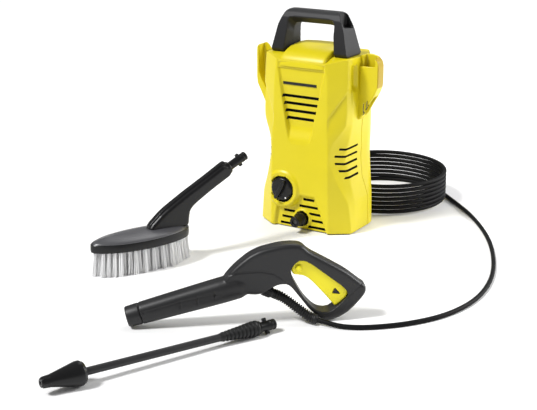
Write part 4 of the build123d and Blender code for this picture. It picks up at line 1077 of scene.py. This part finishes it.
def gun_axis(u, v=0.0, side=0.0):
    """A point by its distance along the barrel's axis from the muzzle."""
    s = u * cos(BARREL_TILT) - v * sin(BARREL_TILT)
    z = 18 + u * sin(BARREL_TILT) + v * cos(BARREL_TILT)
    return GUN.at(s, z, side)


def gun_barrel():
    """The barrel, a little squarer than round."""
    rows = [(23.5, 17.6), (24.5, 18.3), (70, 19.6), (120, 20.8), (160, 21.6), (190, 21.4),
            (202, 18), (208, 12)]
    columns = 48
    turns = [2 * pi * step / columns for step in range(columns)]
    section = [(np.sign(sin(t)) * abs(sin(t)) ** 0.86, np.sign(cos(t)) * abs(cos(t)) ** 0.86)
               for t in turns]
    points = [gun_axis(u, up * r, out * (r * 0.96)) for u, r in rows for up, out in section]
    return points, tube_faces(len(rows), columns)


def half_of(mesh, name, sign):
    """The part of a mesh on one side of the gun's middle plane, closed along the plane."""
    obj = placed(name, mesh.copy())
    keep = scratch(name + "_keep", prism(
        GUN, [(-40, -40), (460, -40), (460, 200), (-40, 200)], *sorted((sign * 0.12, sign * 60))
    ))
    add_boolean(obj, "INTERSECT", keep, "FAST")
    result = applied(obj)
    bpy.data.objects.remove(keep)
    return result


def make_gun():
    body = softened(prism(GUN, rounded(GUN_BODY, 2, 0.2), -GUN_HALF, GUN_HALF), 7.0, 40, 4)
    mesh = remeshed("gun", [body, gun_barrel()], [
        prism(GUN, rounded(FINGER_HOLE, 2, 0.2), -40, 40),
        prism(GUN, rounded(TRIGGER_CHANNEL, 1, 0.2), -CHANNEL_HALF, CHANNEL_HALF),
    ], 1.25, 8)
    for path, width, depth in GUN_GROOVES:
        carve(mesh, GUN, path, width, depth)
    for name, sign, node_name in (("gun_right", 1, "gun_shell_right"),
                                  ("gun_left", -1, "gun_shell_left")):
        piece(name, half_of(mesh, name, sign), "machine", ["gun_plastic"], [node_name], 50)


def make_trigger():
    blade = prism(GUN, rounded(TRIGGER_OUTLINE, 2, 0.2), -TRIGGER_HALF, TRIGGER_HALF)
    hole = prism(GUN, [(345.2, 58.4), (340.4, 48.6), (355.2, 46.4)], -20, 20)
    mesh = remeshed("trigger", [softened(blade, 2.6, 40, 4)], [hole], 0.8, 3)
    caps = [revolved(GUN.at(*TRIGGER_PIVOT, side * 9.4), GUN.side * side,
                     [(5.6, 0), (5.5, 3.4), (4.2, 4.8), (0.01, 5.1)], 32) for side in (-1, 1)]
    lever = applied(joined("trigger_lever", [mesh_shape(mesh), *caps]))
    # The trigger's yellow is partly its own colour and partly painted light
    piece("trigger_lever", lever, "trigger", ["trigger_yellow"], ["gun_trigger"], 50)


def make_gun_fittings():
    muzzle = gun_axis(0)
    barrel = gun_axis(1) - gun_axis(0)
    profile = [(9.2, 30), (9.2, 4.4), (14.2, 3.6), (15.0, 0.6), (16.4, 0), (17.6, 2.2),
               (18.4, 21.5), (17.6, 23.4), (12, 23.4)]
    round_piece("gun_collar", muzzle, barrel, profile, "machine", "gun_plastic",
                ["gun_nose_collar"], 0.6)
    start = GUN.at(221, 59)
    direction = GUN.direction(24, -11)
    ribs = [revolved(spot, direction, [(0.01, 0), (0.7, 0.3), (0.7, 12.7), (0.01, 13)], 8)
            for spot, _ in round_places(start + direction * 6, direction, 9.3, 18)]
    round_piece("gun_nut", start, direction,
                [(0.01, 0), (6, 0), (6, 5), (9.4, 5), (9.4, 20), (8.2, 22), (7.4, 26), (0.01, 26)],
                "machine", "black_plastic", ["gun_hose_connector"], 0.6, 48, ribs)
    # Ribbed strain relief from the nut to the hose
    corners = [start + direction * 25, start + direction * 42, np.array((257, -480.6, 11.7)),
               np.array((273, -479, 9.3))]
    path = [corners[0]] + bend(*corners[:3], 20, 14) + bend(*corners[1:], 12, 12) + [corners[3]]
    path = np.array(path)
    lengths = path_lengths(path)
    places = np.linspace(0, lengths[-1], 400)
    fine = spaced(path, lengths, places)
    share = places / lengths[-1]
    wave = 0.5 + 0.5 * np.cos(2 * pi * share * 21)
    radii = 6.7 + 1.9 * smoothstep(wave, 0.22, 0.5)
    radii = np.where(share > 0.925, 8.8 - 4.0 * smoothstep(share, 0.955, 1.0), radii)
    shape = swept(fine, radii, 28)
    piece("strain_relief", mesh_from("strain_relief", *shape), "machine", ["soft_rubber"],
          ["gun_strain_relief"], 50)


# ---------------------------------------------------------------------------
# Rotary lance
# ---------------------------------------------------------------------------

LANCE_TIP = np.array((57.0, -915.0, 20.7))
LANCE_END = np.array((223.5, -537.0, 12.7))
LANCE_LINE = (LANCE_END - LANCE_TIP) / np.linalg.norm(LANCE_END - LANCE_TIP)
LANCE_LENGTH = float(np.linalg.norm(LANCE_END - LANCE_TIP))


def lug_pair(origin, direction, angle, side_hint):
    """Two rounded bayonet lugs across a spigot whose direction and reference side are given."""
    x = side_hint - direction * np.dot(side_hint, direction)
    x /= np.linalg.norm(x)
    y = np.cross(direction, x)
    outline = [(0, 6), (7, 6), (7, 13.4), (0, 13.4)]
    outs = [cos(turn) * x + sin(turn) * y for turn in (angle, angle + pi)]
    return [softened(prism(Flat(origin, direction, out), outline, -2.5, 2.5), 0.9) for out in outs]


def spigot_profile(low, high):
    """Neck, sealing ring and bevelled mouth of a bayonet spigot."""
    return [(8.3, low), (11, low + 0.2), (11, low + 3), (8.3, low + 3.2), (8.3, high - 12),
            (8.8, high - 11.6), (8.8, high - 7.4), (8.2, high - 7), (8.2, high - 4.6),
            (8.8, high - 4.2), (8.8, high - 1.4), (7.6, high), (3.4, high), (2.6, high - 1),
            (2.6, high - 20)]


def make_lance():
    cone = [(2.2, 9), (2.2, 1.2), (3.4, 0), (6.6, 0), (7.6, 1.2), (8.3, 9), (19.2, 57), (19.4, 58.5),
            (19.4, 63.5), (18.4, 65), (16.5, 68.6), (6.4, 69)]
    ridge = [(1.5, 5), (14, 6.5), (14, 9.7), (2.5, 8.6)]
    ridges = [softened(prism(Flat(LANCE_TIP, LANCE_LINE, out), ridge, -1.1, 1.1), 0.5)
              for _, out in round_places(LANCE_TIP, LANCE_LINE, 0, 6)]
    round_piece("rotary_nozzle", LANCE_TIP, LANCE_LINE, cone, "lance", "black_plastic",
                ["nozzle_cone"], 0.9, 96, ridges)
    tube = [(6.2, 62), (6.2, 69.5), (6.2, 200), (6.25, 315), (6.2, 378)]
    round_piece("lance_pipe", LANCE_TIP, LANCE_LINE, tube, "lance", "gun_plastic", ["lance_tube"],
                0.3)
    boot = [(6.3, 306), (6.8, 309)]
    for rib in range(9):
        radius = 7.2 + 0.67 * rib
        low = 311 + rib * 7.0
        boot += [(radius, low), (radius + 0.55, low + 0.8), (radius + 0.75, low + 3.6),
                 (radius - 1.2, low + 4.2), (radius - 1.0, low + 6.4)]
    boot += [(12.9, 374.6), (13.1, 376.4), (12.2, 379), (8, 380)]
    round_piece("lance_sleeve", LANCE_TIP, LANCE_LINE, boot, "lance", "soft_rubber",
                ["lance_boot"], 0.35)
    at = LANCE_TIP + LANCE_LINE * (LANCE_LENGTH - 21)
    lugs = lug_pair(at, LANCE_LINE, radians(58), across(LANCE_LINE)[0])
    round_piece("lance_coupling", LANCE_TIP, LANCE_LINE, spigot_profile(380, LANCE_LENGTH),
                "lance", "black_plastic", ["lance_bayonet"], 0.4, 64, lugs)


# ---------------------------------------------------------------------------
# Wash brush
# ---------------------------------------------------------------------------

BRUSH_LENGTH = 207.0
BRUSH_HALF_WIDTH = 41.5
BRUSH_OUTLINE_POINTS = 72
BRUSH_TILT = radians(24.5)
BRUSH_HALF = [(0, 0), (4, 9), (20, 21), (52, 35), (105, 41.5), (155, 36.5), (190, 23), (203, 9),
              (207, 0)]
BRUSH_RINGS = [
    # height, inset
    (46.0, 4.0), (46.0, 1.4), (46.8, 0.5), (50, 0.0), (57, 0.0), (60.6, 0.6), (61.8, 1.8),
    (62.0, 3.0), (61.2, 3.8), (61.4, 4.6), (62.6, 5.6), (64.0, 8.0), (65.6, 12.0), (67.2, 18.0),
    (68.6, 25.0), (69.5, 32.0), (69.9, 38.0), (70.0, 41.2),
]


def brush_outline():
    """The head's whole outline, evenly spaced along its smooth edge."""
    control = BRUSH_HALF[:-1] + [(x, -y) for x, y in reversed(BRUSH_HALF)][:-1]
    control = np.array(control, float)
    total = len(control)
    points = []
    for index in range(total):
        p0, p1, p2, p3 = (control[(index + k) % total] for k in (-1, 0, 1, 2))
        for t in np.linspace(0, 1, 24, endpoint=False):
            points.append(0.5 * (2 * p1 + (p2 - p0) * t + (2 * p0 - 5 * p1 + 4 * p2 - p3) * t**2
                                 + (3 * p1 - p0 - 3 * p2 + p3) * t**3))
    closed = np.array(points + points[:1])
    lengths = path_lengths(closed)
    wanted = np.linspace(0, lengths[-1], BRUSH_OUTLINE_POINTS, endpoint=False)
    return spaced(closed, lengths, wanted)


def brush_ring(outline, z, inset):
    middle = BRUSH_LENGTH / 2
    x = middle + (outline[:, 0] - middle) * (1 - inset / middle)
    y = outline[:, 1] * (1 - inset / BRUSH_HALF_WIDTH)
    return BRUSH.points(np.stack([x, np.full(len(x), z), y], axis=1))


def make_brush_head():
    outline = brush_outline()
    points = np.vstack([brush_ring(outline, z, inset) for z, inset in BRUSH_RINGS])
    mesh = mesh_from("brush_top", points, tube_faces(len(BRUSH_RINGS), len(outline)))
    # Painted sheen: faces above the band get the lighter grey sheen material
    paint(mesh, lambda c: c[:, 2] > 61.5, 1)
    piece("brush_top", mesh, "brush", ["black_plastic", "brush_painted_sheen"], ["brush_head"], 30)


BRUSH_NECK = [
    (118, 60), (120, 74), (149, 97.5), (196, 123.5), (245, 148), (290, 171.5), (308, 150),
    (256, 124), (217, 102), (207, 92), (204.5, 78), (203, 60),
]
BRUSH_RIDGE = [(118, 66), (120.5, 78), (149, 101.5), (196, 127.5), (245, 152), (289, 175.5),
               (291, 168), (196, 119), (140, 88), (128, 66)]


def make_brush_handle():
    neck = softened(prism(BRUSH, rounded(BRUSH_NECK, 1, 0.2), -12.5, 12.5), 6.0, 40, 4)
    ridge = softened(prism(BRUSH, rounded(BRUSH_RIDGE, 1, 0.15), -6.0, 6.0), 1.2, 40, 2)
    direction = BRUSH.direction(cos(BRUSH_TILT), sin(BRUSH_TILT))
    collar = revolved(BRUSH.at(290, 156), direction,
                      [(0.01, 0), (11.5, 0), (12.6, 2), (12.6, 10), (11.4, 12.5), (0.01, 12.5)], 48)
    mesh = remeshed("brush_neck", [neck, ridge, collar], [], 1.2, 3)
    foot = BRUSH.at(300, 160.5)
    lugs = lug_pair(foot + direction * 22, direction, radians(90), BRUSH.side)
    spigot = joined("brush_spigot", [
        revolved(foot, direction, eased(spigot_profile(-2, 43), 0.4), 64), *lugs,
    ])
    piece("brush_coupling", applied(spigot), "brush", ["black_plastic"], (), 35)
    piece("brush_neck", mesh, "brush", ["black_plastic"], ["brush_handle"], 50)


TUFT_PITCH_ALONG, TUFT_PITCH_ACROSS = 9.4, 9.6
TUFT_STRANDS, TUFT_REACH = 40, 3.0
BRISTLE_RANDOM_SEED = 7


def make_bristles():
    """Tufts of separate fine strands that spread a little towards the floor."""
    rng = random.Random(BRISTLE_RANDOM_SEED)
    outline = brush_outline()
    middle = BRUSH_LENGTH / 2
    inner = [((x - middle) * 0.95 + middle, y * 0.92) for x, y in outline]
    strand = grid_faces(3, 3) + [(6, 7, 8)]
    points, faces = [], []
    columns = int(BRUSH_LENGTH / TUFT_PITCH_ALONG)
    for column in range(columns + 1):
        x = 8 + column * TUFT_PITCH_ALONG
        for row in range(-4, 5):
            y = (row + 0.5 * (column % 2)) * TUFT_PITCH_ACROSS
            if not inside(np.array([(x, y)]), inner)[0]:
                continue
            for _ in range(TUFT_STRANDS):
                angle = rng.uniform(0, 2 * pi)
                reach = TUFT_REACH * rng.random() ** 0.5
                root = np.array((x + reach * cos(angle), y + reach * sin(angle)))
                lean = np.array((cos(angle), sin(angle))) * reach * rng.uniform(0.45, 0.95)
                lean += np.array((x - middle, y * 1.4)) * 0.045
                lean += np.array((rng.uniform(-0.6, 0.6), rng.uniform(-0.6, 0.6)))
                turn = rng.uniform(0, 2 * pi)
                end = rng.uniform(0.3, 1.2)
                start = len(points)
                for z, share, thick in ((47.5, 0, 0.48), (22, 0.42, 0.48), (end, 1.0, 0.40)):
                    centre = root + lean * share
                    for corner in range(3):
                        corner_angle = turn + corner * 2 * pi / 3
                        points.append((centre[0] + thick * cos(corner_angle), z,
                                       centre[1] + thick * sin(corner_angle)))
                faces += [tuple(start + corner for corner in face) for face in strand]
    piece("bristle_tufts", mesh_from("bristle_tufts", BRUSH.points(points), faces), "brush",
          ["bristle"], ["brush_bristles"], 80)


# ---------------------------------------------------------------------------
# Hose: tail, coil and lead as one line, in metres
# ---------------------------------------------------------------------------

HOSE_DIAMETER_M = 0.0085
COIL_CENTRE_M = (0.046, 0.221)
COIL_RADIUS_M = 0.1325
COIL_TURNS = 7.27
COIL_START_ANGLE = 145.0
COIL_TOP_M = 0.0685
HOSE_FLOOR_M = 0.0043
TURN_POINTS = 24
TAIL_ROUTE_M = [
    (-0.066, 0.104, 0.062), (-0.066, 0.124, 0.062), (-0.072, 0.144, 0.0635), (-0.084, 0.166, 0.065),
    (-0.094, 0.190, 0.0665), (-0.098, 0.217, 0.0678), (-0.096, 0.244, 0.0684),
    (-0.088, 0.270, 0.0686),
]
LEAD_ON_FLOOR_M = [
    (0.196, 0.262), (0.258, 0.200), (0.314, 0.130), (0.362, 0.056), (0.402, -0.024),
    (0.434, -0.106), (0.453, -0.186), (0.457, -0.264), (0.441, -0.338), (0.408, -0.396),
    (0.370, -0.438), (0.334, -0.465),
]
LEAD_ROUTE_M = [(x, y, HOSE_FLOOR_M) for x, y in LEAD_ON_FLOOR_M]
LEAD_ROUTE_M += [(0.301, -0.476, 0.0049), (0.272, -0.479, 0.0094)]


def coil_route():
    """The stacked turns, from the tail at the top down to the lead on the floor."""
    count = int(COIL_TURNS * TURN_POINTS)
    # The line of a spline runs a little inside its points on a curve
    radius = COIL_RADIUS_M / (0.75 + 0.25 * cos(radians(360 / TURN_POINTS)))
    route = []
    for index in range(count + 1):
        turned = COIL_TURNS * index / count
        angle = radians(COIL_START_ANGLE - 360 * turned)
        share = min(max((turned - 0.1) / (COIL_TURNS - 0.35), 0), 1)
        route.append((
            COIL_CENTRE_M[0] + radius * cos(angle),
            COIL_CENTRE_M[1] + radius * sin(angle),
            COIL_TOP_M + (HOSE_FLOOR_M - COIL_TOP_M) * share,
        ))
    return route


def make_hose():
    route = TAIL_ROUTE_M + coil_route() + LEAD_ROUTE_M
    curve = bpy.data.curves.new("hose", "CURVE")
    curve.dimensions = "3D"
    curve.bevel_depth = HOSE_DIAMETER_M / 2
    curve.bevel_resolution = 5
    curve.resolution_u = 6
    curve.use_fill_caps = True
    spline = curve.splines.new("NURBS")
    spline.points.add(len(route) - 1)
    for point, place in zip(spline.points, route):
        point.co = (*place, 1.0)
    spline.order_u = 3
    spline.use_endpoint_u = True
    hose = placed("hose", curve)
    curve.materials.append(materials["hose_rubber"])
    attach(hose, "machine")
    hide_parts("hose_tail", "hose_coil", "hose_lead")


make_camera()
make_stage()
finish_nodes()
make_casing()
make_hood()
make_holders()
make_handle()
make_dial()
make_inlet()
make_bar_mark()
make_gun()
make_trigger()
make_gun_fittings()
make_lance()
make_brush_head()
make_brush_handle()
make_bristles()
make_hose()
